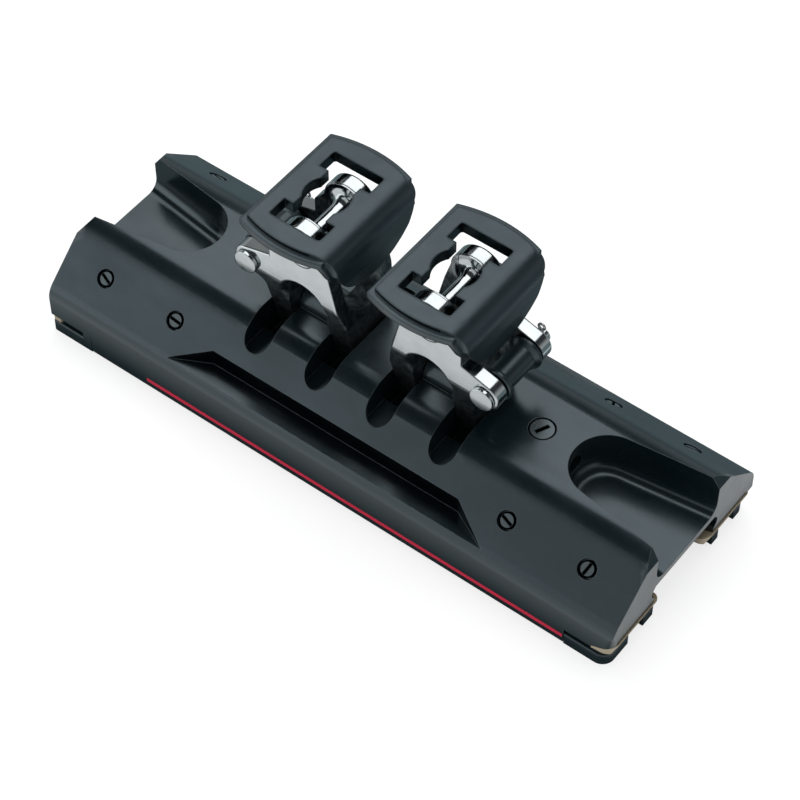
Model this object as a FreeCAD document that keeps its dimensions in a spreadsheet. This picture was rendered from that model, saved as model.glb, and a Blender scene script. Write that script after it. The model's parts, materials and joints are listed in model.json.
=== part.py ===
import FreeCAD, Part
import math
import os
import Sketcher

# Traveller car: a low aluminium body on recirculating balls, two steel toggles and their hoods
# Frame: X along the track, Y across it, Z up; origin under the middle, at the feet of the end caps

DOC = FreeCAD.newDocument("TravellerCar")
SHEET = DOC.addObject("Spreadsheet::Sheet", "Sizes")

SIZES = [
    # Body section and length
    ("body_length", 356.0),
    ("body_width", 123.0),
    ("body_top", 59.5),
    ("body_foot", 0.8),
    ("slope_low", 28.9),
    ("slope_top_y", 27.4),
    ("edge_round", 11.5),
    ("ridge_round", 20.0),
    ("track_gap", 52.0),
    ("web_under", 30.3),
    ("foot_chamfer", 1.2),
    # Bevel over each end
    ("bevel_run", 5.0),
    ("bevel_drop", 7.5),
    # Milled end pockets
    ("pocket_centre", 131.5),
    ("pocket_round", 20.0),
    ("pocket_floor", 34.2),
    ("pocket_flare", 7.5),
    ("pocket_fillet", 7.0),
    ("floor_start", 105.0),
    # Hinge slots for the toggle legs
    ("toggle_pitch", 38.5),
    ("hinge_height", 46.0),
    ("slot_offset", 19.25),
    ("slot_width", 15.6),
    ("slot_reach", 41.0),
    ("slot_floor", 42.6),
    ("well_reach", 21.0),
    ("knuckle_width", 20.0),
    ("knuckle_length", 23.5),
    ("knuckle_height", 11.0),
    ("rod_diameter", 11.0),
    ("rod_start", 9.0),
    ("rod_end", 104.0),
    # Side troughs
    ("trough_floor", 30.7),
    ("trough_wall", 47.7),
    ("trough_top_reach", 77.0),
    ("trough_low_reach", 101.5),
    ("trough_mouth", 60.3),
    # Relief over the end caps
    ("relief_start", 150.5),
    ("relief_right", 11.0),
    ("relief_left", 11.6),
    ("wedge_root", 11.6),
    ("wedge_roof", 17.4),
    ("wedge_under", 10.2),
    ("wedge_lip", 11.4),
    ("wedge_draft", 2.4),
    ("wedge_reach", 19.7),
    ("plate_right", 165.9),
    ("plate_left", 171.8),
    ("plate_end_left", 177.4),
    ("corner_low", 11.0),
    ("corner_high", 28.5),
    ("corner_round", 7.4),
    ("corner_point", 0.4),
    # Ball races
    ("ball_diameter", 9.5),
    ("race_y", 23.5),
    ("race_height", 25.3),
    ("race_round", 4.9),
    ("ball_gap", 0.35),
    ("rail_inner", 20.4),
    ("rail_brow", 1.2),
    ("rail_low", 15.0),
    # Screws
    ("slope_screw_outer", 150.8),
    ("slope_screw_inner", 104.0),
    ("slope_screw_y", 45.3),
    ("screw_recess", 10.3),
    ("screw_recess_depth", 3.2),
    ("screw_head", 8.6),
    ("screw_head_height", 2.8),
    ("screw_shank", 5.0),
    ("screw_reach", 16.0),
    ("screw_slot", 1.4),
    ("screw_slot_length", 6.6),
    ("plug_x", 92.0),
    ("plug_diameter", 14.0),
    ("plug_slot", 1.9),
    ("plug_slot_length", 7.6),
    ("plug_slot_turn", 65.0),
    # End caps and turn plates
    ("cap_top", 7.5),
    ("cap_sink", 1.5),
    ("cap_end_right", 175.8),
    ("cap_end_left", 177.6),
    ("cap_round_right", 7.0),
    ("cap_round_left", 1.9),
    ("cap_inset", 3.0),
    ("cap_gap", 0.3),
    ("cap_block", 156.2),
    ("notch_start", 168.5),
    ("notch_near", 30.2),
    ("notch_near_end", 43.0),
    ("notch_far", 36.0),
    ("notch_far_end", 50.0),
    ("tab_near", 21.8),
    ("tab_far", 30.4),
    ("ledge_right", 10.0),
    ("ledge_left", 8.1),
    ("plate_low", 8.3),
    ("plate_high", 11.2),
    ("plate_proud", 0.9),
    ("cap_screw_x", 158.5),
    ("cap_screw_head", 8.0),
    ("cap_screw_shank", 4.0),
    ("cap_screw_reach", 16.0),
    # Side stripe
    ("stripe_low", 4.2),
    ("stripe_high", 6.7),
    ("stripe_left", 112.6),
    ("stripe_right", 149.8),
    ("stripe_depth", 0.5),
    ("stripe_proud", 0.08),
    # Toggle yoke, heights above the body's feet
    ("yoke_width", 45.0),
    ("cheek_gap", 29.0),
    ("gap_floor", 78.0),
    ("leg_inner", 12.0),
    ("leg_outer", 25.5),
    ("leg_round", 11.5),
    ("shoulder_height", 88.0),
    ("shoulder_round", 13.0),
    ("arch_centre", 80.2),
    ("arch_round", 12.8),
    ("arch_lean", 16.0),
    ("arch_edge", 3.0),
    ("boss_round", 13.5),
    ("boss_height", 121.5),
    ("arm_step_u", 20.0),
    ("arm_step_low", 103.8),
    ("arm_step_high", 113.0),
    ("arm_root", 6.5),
    ("arm_lean", 16.5),
    ("pin_u", 33.6),
    ("pin_height", 91.0),
    ("arm_round", 8.4),
    ("waist_low_u", 22.0),
    ("waist_low", 88.5),
    ("waist_u", 20.6),
    ("waist", 94.5),
    ("neck_u", 17.0),
    ("neck", 109.8),
    ("leg_top", 75.0),
    ("yoke_edge", 1.2),
    ("leg_clear", 55.0),
    # Trunnion blocks, spool and hood screws
    ("trunnion_round", 8.3),
    ("trunnion_low", 117.5),
    ("spool_height", 122.0),
    ("spigot_diameter", 6.4),
    ("spigot_reach", 5.0),
    ("spool_rim", 12.8),
    ("spool_neck", 4.4),
    ("spool_neck_half", 7.2),
    ("spool_half", 14.3),
    ("spool_lip", 0.9),
    ("hood_screw_height", 123.0),
    ("hood_screw_shank", 3.0),
    ("hood_screw_head", 6.0),
    ("hood_screw_rise", 1.8),
    ("hood_screw_depth", 6.0),
    # Hood
    ("hood_top", 140.0),
    ("hood_plate", 6.8),
    ("hood_back", 23.0),
    ("hood_front", 24.0),
    ("hood_corner", 32.5),
    ("hood_middle", 36.5),
    ("hood_bulge", 30.0),
    ("hood_wall", 3.4),
    ("hood_flap_half", 30.0),
    ("hood_bend", 13.0),
    ("flap_low", 104.5),
    ("flap_round", 30.8),
    ("flap_sag", 23.3),
    ("flap_draft", 1.6),
    ("flap_straight", 118.0),
    ("window_half_x", 15.3),
    ("window_half_y", 25.5),
    ("window_step", 13.5),
    ("window_neck", 9.7),
    ("window_round", 12.2),
    ("window_corner", 1.5),
    ("flange_high", 137.7),
    ("flange_low", 134.0),
    ("flange_out", 3.2),
    ("flange_corner_out", 2.8),
    ("flange_back", 2.6),
    ("lip_inside", 27.0),
    ("lip_foot", 118.5),
    ("lip_foot_y", 26.5),
    ("lip_round", 24.0),
    ("strap_round", 3.5),
    ("strap_wall", 2.6),
    ("strap_post", 15.8),
    # Control pin, roller and split ring
    ("pin_diameter", 8.0),
    ("pin_head", 13.2),
    ("pin_head_height", 2.0),
    ("pin_head_edge", 0.3),
    ("pin_tail", 27.5),
    ("roller_rim", 9.3),
    ("roller_waist", 7.2),
    ("roller_half", 13.4),
    ("roller_edge", 0.6),
    ("roller_lip", 2.0),
    ("roller_room", 10.8),
    ("ring_wire", 1.1),
    ("ring_eye", 1.76),
    ("ring_eye_wire", 0.66),
    ("ring_seat", 24.9),
    ("fit", 0.04),
    ("gap", 0.2),
]


class Size(float):
    """A length that carries the sheet expression it comes from."""

    def __new__(cls, value, text):
        size = float.__new__(cls, value)
        size.text = text
        return size

    def __add__(self, other):
        return Size(float(self) + float(other), "(" + self.text + " + " + words(other) + ")")

    def __radd__(self, other):
        return Size(float(other) + float(self), "(" + words(other) + " + " + self.text + ")")

    def __sub__(self, other):
        return Size(float(self) - float(other), "(" + self.text + " - " + words(other) + ")")

    def __rsub__(self, other):
        return Size(float(other) - float(self), "(" + words(other) + " - " + self.text + ")")

    def __mul__(self, other):
        return Size(float(self) * float(other), "(" + self.text + " * " + words(other) + ")")

    def __rmul__(self, other):
        return self * other

    def __truediv__(self, other):
        return Size(float(self) / float(other), "(" + self.text + " / " + words(other) + ")")

    def __neg__(self):
        return Size(-float(self), "(0 - " + self.text + ")")


def words(value):
    if isinstance(value, Size):
        return value.text
    return repr(float(value))


def fill_sheet():
    sizes = {}
    for row, (alias, value) in enumerate(SIZES, start=1):
        SHEET.set("A%d" % row, alias)
        SHEET.set("B%d" % row, repr(value))
        SHEET.setAlias("B%d" % row, alias)
        sizes[alias] = Size(value, "Sizes." + alias)
    DOC.recompute()
    return sizes


S = fill_sheet()
FACE = {"XY": "XY_Plane", "XZ": "XZ_Plane", "YZ": "YZ_Plane"}


def plane_of(body, plane):
    for feature in body.Origin.OriginFeatures:
        if feature.Role == FACE[plane]:
            return feature
    raise RuntimeError("no plane " + plane)


def new_body(name):
    body = DOC.addObject("PartDesign::Body", name)
    body.Label = name
    return body


def new_sketch(body, name, plane, offset=None):
    sketch = body.newObject("Sketcher::SketchObject", name)
    sketch.AttachmentSupport = [(plane_of(body, plane), "")]
    sketch.MapMode = "FlatFace"
    if offset is not None:
        sketch.AttachmentOffset = FreeCAD.Placement(FreeCAD.Vector(0, 0, float(offset)), FreeCAD.Rotation())
        sketch.setExpression("AttachmentOffset.Base.z", words(offset))
    return sketch


def pin_point(sketch, geometry, end, point):
    for kind, value in (("DistanceX", point[0]), ("DistanceY", point[1])):
        index = sketch.addConstraint(Sketcher.Constraint(kind, -1, 1, geometry, end, float(value)))
        if isinstance(value, Size):
            sketch.setExpression("Constraints[%d]" % index, value.text)


def arc_between(start, end, radius, turn):
    chord = FreeCAD.Vector(float(end[0]) - float(start[0]), float(end[1]) - float(start[1]), 0)
    middle = FreeCAD.Vector(float(start[0]), float(start[1]), 0) + chord * 0.5
    side = FreeCAD.Vector(-chord.y, chord.x, 0)
    side.normalize()
    rise = math.sqrt(max(float(radius) ** 2 - (chord.Length / 2) ** 2, 0.0))
    centre = middle + side * (rise * turn)
    first = math.atan2(float(start[1]) - centre.y, float(start[0]) - centre.x)
    last = math.atan2(float(end[1]) - centre.y, float(end[0]) - centre.x)
    if turn < 0:
        first, last = last, first
    circle = Part.Circle(centre, FreeCAD.Vector(0, 0, 1), float(radius))
    return Part.ArcOfCircle(circle, first, last)


def close_arc(sketch, geometry, corner, following):
    """A half circle is held by its centre, any other arc by its radius."""
    run = abs(float(following[0]) - float(corner[0]))
    rise = abs(float(following[1]) - float(corner[1]))
    kind, value = "Radius", corner[2]
    if math.hypot(run, rise) > 1.9999 * float(corner[2]):
        kind, value = ("DistanceY", corner[1]) if run > rise else ("DistanceX", corner[0])
        constraint = Sketcher.Constraint(kind, -1, 1, geometry, 3, float(value))
    else:
        constraint = Sketcher.Constraint(kind, geometry, float(value))
    index = sketch.addConstraint(constraint)
    if isinstance(value, Size):
        sketch.setExpression("Constraints[%d]" % index, value.text)


def draw_outline(sketch, corners):
    """Corners are (x, y), or (x, y, radius, turn) where an arc leads on to the next corner."""
    pieces = []
    count = len(corners)
    for index, corner in enumerate(corners):
        following = corners[(index + 1) % count]
        if len(corner) == 2:
            line = Part.LineSegment(FreeCAD.Vector(float(corner[0]), float(corner[1]), 0),
                                    FreeCAD.Vector(float(following[0]), float(following[1]), 0))
            pieces.append((sketch.addGeometry(line), 1, 2))
        else:
            arc = arc_between(corner, following, corner[2], corner[3])
            ends = (1, 2) if corner[3] > 0 else (2, 1)
            pieces.append((sketch.addGeometry(arc), ends[0], ends[1]))
    for index, piece in enumerate(pieces):
        following = pieces[(index + 1) % count]
        joint = Sketcher.Constraint("Coincident", piece[0], piece[2], following[0], following[1])
        sketch.addConstraint(joint)
    for index, (piece, corner) in enumerate(zip(pieces, corners)):
        pin_point(sketch, piece[0], piece[1], corner)
        if len(corner) == 4:
            close_arc(sketch, piece[0], corner, corners[(index + 1) % count])


def draw_circle(sketch, x, y, radius):
    circle = Part.Circle(FreeCAD.Vector(float(x), float(y), 0), FreeCAD.Vector(0, 0, 1), float(radius))
    geometry = sketch.addGeometry(circle)
    pin_point(sketch, geometry, 3, (x, y))
    index = sketch.addConstraint(Sketcher.Constraint("Radius", geometry, float(radius)))
    if isinstance(radius, Size):
        sketch.setExpression("Constraints[%d]" % index, radius.text)


def draw_box(sketch, low_x, low_y, high_x, high_y):
    draw_outline(sketch, [(low_x, low_y), (high_x, low_y), (high_x, high_y), (low_x, high_y)])


def draw_middle_box(sketch, length, width):
    draw_box(sketch, -length / 2, -width / 2, length / 2, width / 2)


def grow(body, sketch, length, middle=False, back=False):
    feature = body.newObject("PartDesign::Pad", sketch.Name + "Pad")
    feature.Profile = sketch
    feature.Length = float(length)
    feature.setExpression("Length", words(length))
    feature.Midplane = middle
    feature.Reversed = back
    sketch.Visibility = False
    body.Tip = feature
    return feature


def carve(body, sketch, length=None, middle=False, back=False):
    DOC.recompute()
    before = body.Shape.Volume
    feature = body.newObject("PartDesign::Pocket", sketch.Name + "Cut")
    feature.Profile = sketch
    if length is None:
        feature.Type = 1
    else:
        feature.Length = float(length)
        feature.setExpression("Length", words(length))
    feature.Midplane = middle
    feature.Reversed = back
    sketch.Visibility = False
    body.Tip = feature
    DOC.recompute()
    if body.Shape.Volume > before - 0.5:
        raise RuntimeError(body.Name + ": nothing was cut by " + sketch.Name)
    return feature


def turned(body, sketch, axis, cut=False):
    kind = "PartDesign::Groove" if cut else "PartDesign::Revolution"
    feature = body.newObject(kind, sketch.Name + "Turn")
    feature.Profile = sketch
    feature.ReferenceAxis = (sketch, [axis])
    feature.Angle = 360.0
    sketch.Visibility = False
    body.Tip = feature
    return feature


def mirrored(body, features, planes):
    last = None
    for plane in planes:
        last = body.newObject("PartDesign::Mirrored", body.Name + "Mirror")
        last.Originals = features
        last.MirrorPlane = (plane_of(body, plane), [""])
        body.Tip = last
        DOC.recompute()
        features = features + [last]
    return last


def soften(body, test, radius, kind="PartDesign::Fillet"):
    DOC.recompute()
    base = body.Tip
    names = ["Edge%d" % (number + 1) for number, edge in enumerate(base.Shape.Edges) if test(edge)]
    if not names:
        raise RuntimeError(body.Name + ": no edge to soften")
    feature = body.newObject(kind, body.Name + "Soft")
    feature.Base = (base, names)
    target = "Radius" if kind == "PartDesign::Fillet" else "Size"
    setattr(feature, target, float(radius))
    feature.setExpression(target, words(radius))
    body.Tip = feature
    DOC.recompute()
    if not feature.isValid() or feature.Shape.isNull():
        raise RuntimeError(body.Name + ": soft edge failed")
    return feature


def middle_of(edge):
    return edge.valueAt((edge.FirstParameter + edge.LastParameter) / 2)


def place(target, x=None, y=None, z=None):
    spot = FreeCAD.Vector(float(x or 0), float(y or 0), float(z or 0))
    target.Placement = FreeCAD.Placement(spot, target.Placement.Rotation)
    for axis, value in (("x", x), ("y", y), ("z", z)):
        if isinstance(value, Size):
            target.setExpression("Placement.Base." + axis, value.text)


def mirror_copy(source, name, normal):
    copy = DOC.addObject("Part::Mirroring", name)
    copy.Label = name
    copy.Source = source
    copy.Base = FreeCAD.Vector(0, 0, 0)
    copy.Normal = FreeCAD.Vector(*normal)
    return copy


def together(name, sources):
    group = DOC.addObject("Part::Compound", name)
    group.Label = name
    group.Links = sources
    return group


# Car body: one milled extrusion with a track channel, end pockets, hinge slots and side troughs
def make_car_body():
    body = new_body("car_body")
    half = S["body_width"] / 2
    inner = S["track_gap"] / 2
    slope = (float(S["body_top"]) - float(S["slope_low"])) / (float(half) - float(S["slope_top_y"]))

    section = new_sketch(body, "Section", "YZ")
    draw_outline(section, [
        (inner, S["body_foot"]), (half, S["body_foot"]), (half, S["slope_low"]),
        (S["slope_top_y"], S["body_top"]), (-S["slope_top_y"], S["body_top"]),
        (-half, S["slope_low"]), (-half, S["body_foot"]), (-inner, S["body_foot"]),
        (-inner, S["web_under"]), (inner, S["web_under"])])
    grow(body, section, S["body_length"], middle=True)

    # Rounded shoulders of the section
    soften(body, lambda e: at_line(e, float(half), float(S["slope_low"])), S["edge_round"])
    soften(body, lambda e: at_line(e, float(S["slope_top_y"]), float(S["body_top"])), S["ridge_round"])

    # Race grooves in the inner faces of both legs
    races = new_sketch(body, "Races", "YZ")
    draw_circle(races, S["race_y"], S["race_height"], S["race_round"])
    draw_circle(races, -S["race_y"], S["race_height"], S["race_round"])
    carve(body, races, S["body_length"] + 2, middle=True)

    # Short bevel over each end
    bevel = new_sketch(body, "Bevel", "XZ")
    end = S["body_length"] / 2
    draw_outline(bevel, [(end - S["bevel_run"], S["body_top"]), (end, S["body_top"] - S["bevel_drop"]),
                         (end + 1, S["body_top"] - S["bevel_drop"]), (end + 1, S["body_top"] + 1),
                         (end - S["bevel_run"], S["body_top"] + 1)])
    bevel_cut = carve(body, bevel, S["body_width"] + 2, middle=True)
    mirrored(body, [bevel_cut], ["YZ"])

    # Relief under each end for the caps and turn plates
    relief = new_sketch(body, "ReliefRight", "XZ")
    draw_outline(relief, [
        (S["relief_start"], -S["gap"]), (end + 1, -S["gap"]), (end + 1, S["wedge_roof"] + S["gap"]),
        (S["plate_right"], S["wedge_root"] + S["gap"]), (S["plate_right"], S["relief_right"]),
        (S["relief_start"], S["relief_right"])])
    carve(body, relief, S["body_width"] + 2, middle=True)
    relief = new_sketch(body, "ReliefLeft", "XZ")
    draw_box(relief, -end - 1, -S["gap"], -S["relief_start"], S["relief_left"])
    carve(body, relief, S["body_width"] + 2, middle=True)

    # The near right corner is rounded off more and more towards the foot
    round_corner(body, end, -half)

    # End pockets, open at the ends, flared towards them
    pocket = new_sketch(body, "EndPocket", "XY", S["body_top"] + 1)
    tilt = math.radians(float(S["pocket_flare"]))
    touch_x = S["pocket_centre"] - S["pocket_round"] * math.sin(tilt)
    touch_y = S["pocket_round"] * math.cos(tilt)
    mouth_y = touch_y + (end + 2 - touch_x) * math.tan(tilt)
    tip_x = S["pocket_centre"] - S["pocket_round"]
    draw_outline(pocket, [
        (touch_x, touch_y, S["pocket_round"], 1), (tip_x, 0, S["pocket_round"], 1), (touch_x, -touch_y),
        (end + 2, -mouth_y), (end + 2, mouth_y)])
    pocket_cut = carve(body, pocket, S["body_top"] + 1 - S["pocket_floor"])
    mirrored(body, [pocket_cut], ["YZ"])
    floor = float(S["pocket_floor"])
    soften(body, lambda e: on_floor(e, floor, float(S["floor_start"])), S["pocket_fillet"])

    # Knuckles that carry the hinge rods between each pair of slots
    knuckle = new_sketch(body, "Knuckle", "YZ", S["toggle_pitch"] - S["knuckle_length"] / 2)
    wide = S["knuckle_width"] / 2
    base = S["body_top"] - 2
    crown = S["body_top"] + S["knuckle_height"] - wide
    draw_outline(knuckle, [(wide, base), (wide, crown, wide, 1), (-wide, crown), (-wide, base)])
    knuckle_pad = grow(body, knuckle, S["knuckle_length"])
    mirrored(body, [knuckle_pad], ["YZ"])

    # Hinge slots: a shallow slot across the body and a deeper well about the hinge
    above = S["body_top"] + S["knuckle_height"] + 1
    slots = new_sketch(body, "Slots", "XY", above)
    for side in (-1, 1):
        draw_slot(slots, S["toggle_pitch"] + S["slot_offset"] * side, S["slot_width"] / 2, S["slot_reach"])
    slot_cut = carve(body, slots, above - S["slot_floor"])
    wells = new_sketch(body, "Wells", "XY", above)
    for side in (-1, 1):
        centre = S["toggle_pitch"] + S["slot_offset"] * side
        draw_box(wells, centre - S["slot_width"] / 2, -S["well_reach"],
                 centre + S["slot_width"] / 2, S["well_reach"])
    well_cut = carve(body, wells, above - S["pocket_floor"])
    mirrored(body, [slot_cut, well_cut], ["YZ"])

    # Hinge rod bores, drilled in from the end pockets
    bore = new_sketch(body, "RodBore", "YZ", S["rod_start"])
    draw_circle(bore, 0, S["hinge_height"], S["rod_diameter"] / 2 + S["fit"])
    bore_cut = carve(body, bore, S["pocket_centre"] - S["rod_start"] - S["pocket_round"] / 2, back=True)
    mirrored(body, [bore_cut], ["YZ"])

    # Plug holes over the rods
    plug = new_sketch(body, "PlugHoles", "XY", S["body_top"] + 1)
    for side in (-1, 1):
        draw_circle(plug, S["plug_x"] * side, 0, S["plug_diameter"] / 2 + S["fit"])
    carve(body, plug, S["body_top"] + 1 - S["hinge_height"])

    # Side troughs with slanting ends
    trough = new_sketch(body, "Trough", "XY", S["body_top"] + 1)
    outside = half + 2
    slant = (float(S["trough_low_reach"]) - float(S["trough_top_reach"]))
    slant = slant / (float(S["trough_mouth"]) - float(S["trough_wall"]))
    far_reach = S["trough_top_reach"] + (outside - S["trough_wall"]) * slant
    draw_outline(trough, [(-S["trough_top_reach"], -S["trough_wall"]), (-far_reach, -outside),
                          (far_reach, -outside), (S["trough_top_reach"], -S["trough_wall"])])
    trough_cut = carve(body, trough, S["body_top"] + 1 - S["trough_floor"])
    mirrored(body, [trough_cut], ["XZ"])

    # Grooves for the side stripes
    stripe = new_sketch(body, "StripeNear", "XZ", half - S["stripe_depth"])
    draw_box(stripe, -S["stripe_left"], S["stripe_low"], S["stripe_right"], S["stripe_high"])
    carve(body, stripe, S["stripe_depth"] + 1, back=True)
    stripe = new_sketch(body, "StripeFar", "XZ", -(half - S["stripe_depth"]))
    draw_box(stripe, -S["stripe_right"], S["stripe_low"], S["stripe_left"], S["stripe_high"])
    carve(body, stripe, S["stripe_depth"] + 1)

    # Seats of the slope screws, square to the slope
    seat = new_screw_seat(body, slope)
    mirrored(body, seat, ["YZ"])
    return body, slope


def round_corner(body, end, side):
    """Cuts a corner whose rounding shrinks from the foot up to a point."""
    levels = []
    for label, height, radius in (("CornerLow", S["corner_low"], S["corner_round"]),
                                  ("CornerHigh", S["corner_high"], S["corner_point"])):
        level = new_sketch(body, label, "XY", height)
        draw_outline(level, [(end - radius, side, radius, 1), (end, side + radius), (end + 1, side + radius),
                             (end + 1, side - 1), (end - radius, side - 1)])
        levels.append(level)
    loft = body.newObject("PartDesign::SubtractiveLoft", "CornerLoft")
    loft.Profile = levels[0]
    loft.Sections = [levels[1]]
    loft.Ruled = True
    for level in levels:
        level.Visibility = False
    body.Tip = loft
    DOC.recompute()


def at_line(edge, y, z):
    spot = middle_of(edge)
    return abs(abs(spot.y) - y) < 0.05 and abs(spot.z - z) < 0.05 and edge.Length > 100


def on_floor(edge, height, inside):
    end = float(S["body_length"]) / 2
    spots = [vertex.Point for vertex in edge.Vertexes] + [middle_of(edge)]
    return all(abs(p.z - height) < 0.01 and inside < abs(p.x) < end + 0.01 for p in spots) and \
        abs(middle_of(edge).x) < end - 0.5


def draw_slot(sketch, centre, half, reach):
    straight = reach - half
    draw_outline(sketch, [(centre + half, -straight), (centre + half, straight, half, 1),
                          (centre - half, straight), (centre - half, -straight, half, 1)])


def new_screw_seat(body, slope):
    """Round flat-bottomed seats and tapped holes, sunk square to both slopes."""
    cuts = []
    lean = math.degrees(math.atan(slope))
    for side in (-1, 1):
        for label, radius, depth in (("Seat", S["screw_recess"] / 2, S["screw_recess_depth"]),
                                     ("Tap", S["screw_shank"] / 2 + S["fit"], S["screw_reach"] + 1)):
            sketch = new_sketch(body, "%s%d" % (label, side + 2), "XY")
            turn = FreeCAD.Rotation(FreeCAD.Vector(1, 0, 0), -lean * side)
            y = float(S["slope_screw_y"]) * side
            z = slope_height(slope)
            sketch.AttachmentOffset = FreeCAD.Placement(FreeCAD.Vector(0, y, z), turn)
            draw_circle(sketch, S["slope_screw_outer"], 0, radius)
            draw_circle(sketch, S["slope_screw_inner"], 0, radius)
            cuts.append(carve(body, sketch, depth))
    return cuts


def slope_height(slope):
    return float(S["slope_low"]) + slope * (float(S["body_width"]) / 2 - float(S["slope_screw_y"]))


def add_cap_holes(body):
    """Tapped holes for the cap screws, drilled up into the reliefs."""
    holes = new_sketch(body, "CapHoles", "XY", S["relief_right"] - 1)
    middle = cap_middle()
    for side in (-1, 1):
        draw_circle(holes, S["cap_screw_x"], middle * side, S["cap_screw_shank"] / 2 + S["fit"])
    cut = carve(body, holes, S["cap_screw_reach"] / 2 + 2, back=True)
    mirrored(body, [cut], ["YZ"])


def cap_middle():
    return (S["body_width"] / 2 + S["track_gap"] / 2) / 2


# End caps: a moulded foot under each corner, with a core that bears on the body
def make_cap(name, cap_end, rounding, plate_from, relief, ledge_top):
    body = new_body(name)
    start = S["relief_start"] + S["cap_gap"]
    inner = cap_inner()
    outer = S["body_width"] / 2
    foot = new_sketch(body, "Foot", "XY")
    draw_outline(foot, [(start, inner), (cap_end, inner), (cap_end, outer - rounding, rounding, 1),
                        (cap_end - rounding, outer), (start, outer)])
    grow(body, foot, S["cap_top"])
    soften(body, lambda e: abs(middle_of(e).z - float(S["cap_top"])) < 0.01
           and middle_of(e).y > float(inner) + 1 and middle_of(e).x > float(start) + 1, S["foot_chamfer"])
    sunk = S["cap_top"] - S["cap_sink"]
    core = new_sketch(body, "Core", "XY", sunk)
    draw_box(core, start + S["cap_inset"] / 2, inner, plate_from - S["cap_gap"], outer - S["cap_inset"])
    grow(body, core, relief - sunk)

    # Ledge under the turn plate, stepped in from the foot
    rim = rounding - S["cap_inset"] / 2
    edge = cap_end - S["cap_inset"] / 2
    brow = outer - S["cap_inset"] / 2
    ledge = new_sketch(body, "Ledge", "XY", sunk)
    draw_outline(ledge, [(plate_from - S["cap_gap"] * 2, inner), (edge, inner), (edge, brow - rim, rim, 1),
                         (edge - rim, brow), (plate_from - S["cap_gap"] * 2, brow)])
    grow(body, ledge, ledge_top - sunk)
    hole = new_sketch(body, "ScrewHole", "XY")
    draw_circle(hole, S["cap_screw_x"], cap_middle(), S["cap_screw_shank"] / 2 + S["fit"])
    carve(body, hole, relief + 1, back=True)
    seat = new_sketch(body, "ScrewSeat", "XY")
    draw_circle(seat, S["cap_screw_x"], cap_middle(), S["cap_screw_head"] / 2 + S["gap"])
    carve(body, seat, S["cap_top"] / 2, back=True)
    return body


def cap_inner():
    return S["track_gap"] / 2 + S["cap_gap"] * 4


def make_right_cap(name, tab, notch, notch_end):
    """The right end's caps stop in a tab, a notch and a rounded corner."""
    body = make_cap(name, S["cap_end_right"], S["cap_round_right"], S["plate_right"], S["relief_right"],
                    S["ledge_right"])
    if float(tab) < float(cap_inner()):
        finger = new_sketch(body, "Finger", "XY")
        draw_box(finger, S["notch_start"], tab, S["cap_end_right"], cap_inner() + 1)
        grow(body, finger, S["cap_top"])
    cut = new_sketch(body, "Notch", "XY")
    draw_box(cut, S["notch_start"], notch, S["cap_end_right"] + 1, notch_end)
    carve(body, cut, S["relief_right"], back=True)
    if float(tab) > float(cap_inner()):
        cut = new_sketch(body, "InnerNotch", "XY")
        draw_box(cut, S["notch_start"], cap_inner() - 1, S["cap_end_right"] + 1, tab)
        carve(body, cut, S["relief_right"], back=True)
    return body


def make_left_cap(name):
    """The left end's caps rise to the body beside the balls and are square at the end."""
    body = make_cap(name, S["cap_end_left"], S["cap_round_left"], S["plate_left"], S["relief_left"],
                    S["ledge_left"])
    block = new_sketch(body, "Block", "XY", S["cap_top"] - S["cap_sink"])
    draw_box(block, S["relief_start"] + S["cap_gap"], cap_inner(), S["cap_block"], S["body_width"] / 2)
    grow(body, block, S["relief_left"] - S["cap_top"] + S["cap_sink"])
    return body


# Turn plates: thin plates between caps and body that close the ball turns
def make_right_plate():
    """A wedge that follows the slanting relief and reaches into the channel."""
    body = new_body("turn_plate_right_far")
    start = S["plate_right"] + S["cap_gap"]
    end = S["body_length"] / 2 + S["plate_proud"]
    outer = S["body_width"] / 2 - S["gap"]
    foot = end - S["wedge_draft"]
    side = new_sketch(body, "Side", "XZ", -outer)
    draw_outline(side, [(start, S["wedge_under"]), (foot, S["wedge_lip"]), (end, S["wedge_roof"] - S["gap"]),
                        (start, S["wedge_root"])])
    grow(body, side, outer - S["wedge_reach"])
    plan = new_sketch(body, "Plan", "XY", S["wedge_roof"] + 1)
    rounding = S["cap_round_right"]
    turn = S["track_gap"] / 2 - S["wedge_reach"]
    draw_outline(plan, [
        (end, outer - rounding, rounding, 1), (end - rounding, outer), (end - rounding, outer + 2),
        (end + 2, outer + 2), (end + 2, outer - rounding)])
    carve(body, plan, S["wedge_roof"])
    inside = new_sketch(body, "Inside", "XY", S["wedge_roof"] + 1)
    draw_outline(inside, [(end - turn, S["wedge_reach"], turn, 1), (end, S["wedge_reach"] + turn),
                          (end + 2, S["wedge_reach"] + turn), (end + 2, S["wedge_reach"] - 2),
                          (end - turn, S["wedge_reach"] - 2)])
    carve(body, inside, S["wedge_roof"])
    return body


def make_left_plate():
    """A level strip across the square end."""
    body = new_body("turn_plate_left")
    outline = new_sketch(body, "Outline", "XY", S["plate_low"])
    outer = S["body_width"] / 2 - S["gap"]
    rounding = S["cap_round_left"]
    end = S["plate_end_left"]
    draw_outline(outline, [
        (S["plate_left"], S["wedge_reach"]), (end, S["wedge_reach"]), (end, outer - rounding, rounding, 1),
        (end - rounding, outer), (S["plate_left"], outer)])
    grow(body, outline, S["plate_high"] - S["plate_low"])
    return body


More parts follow.
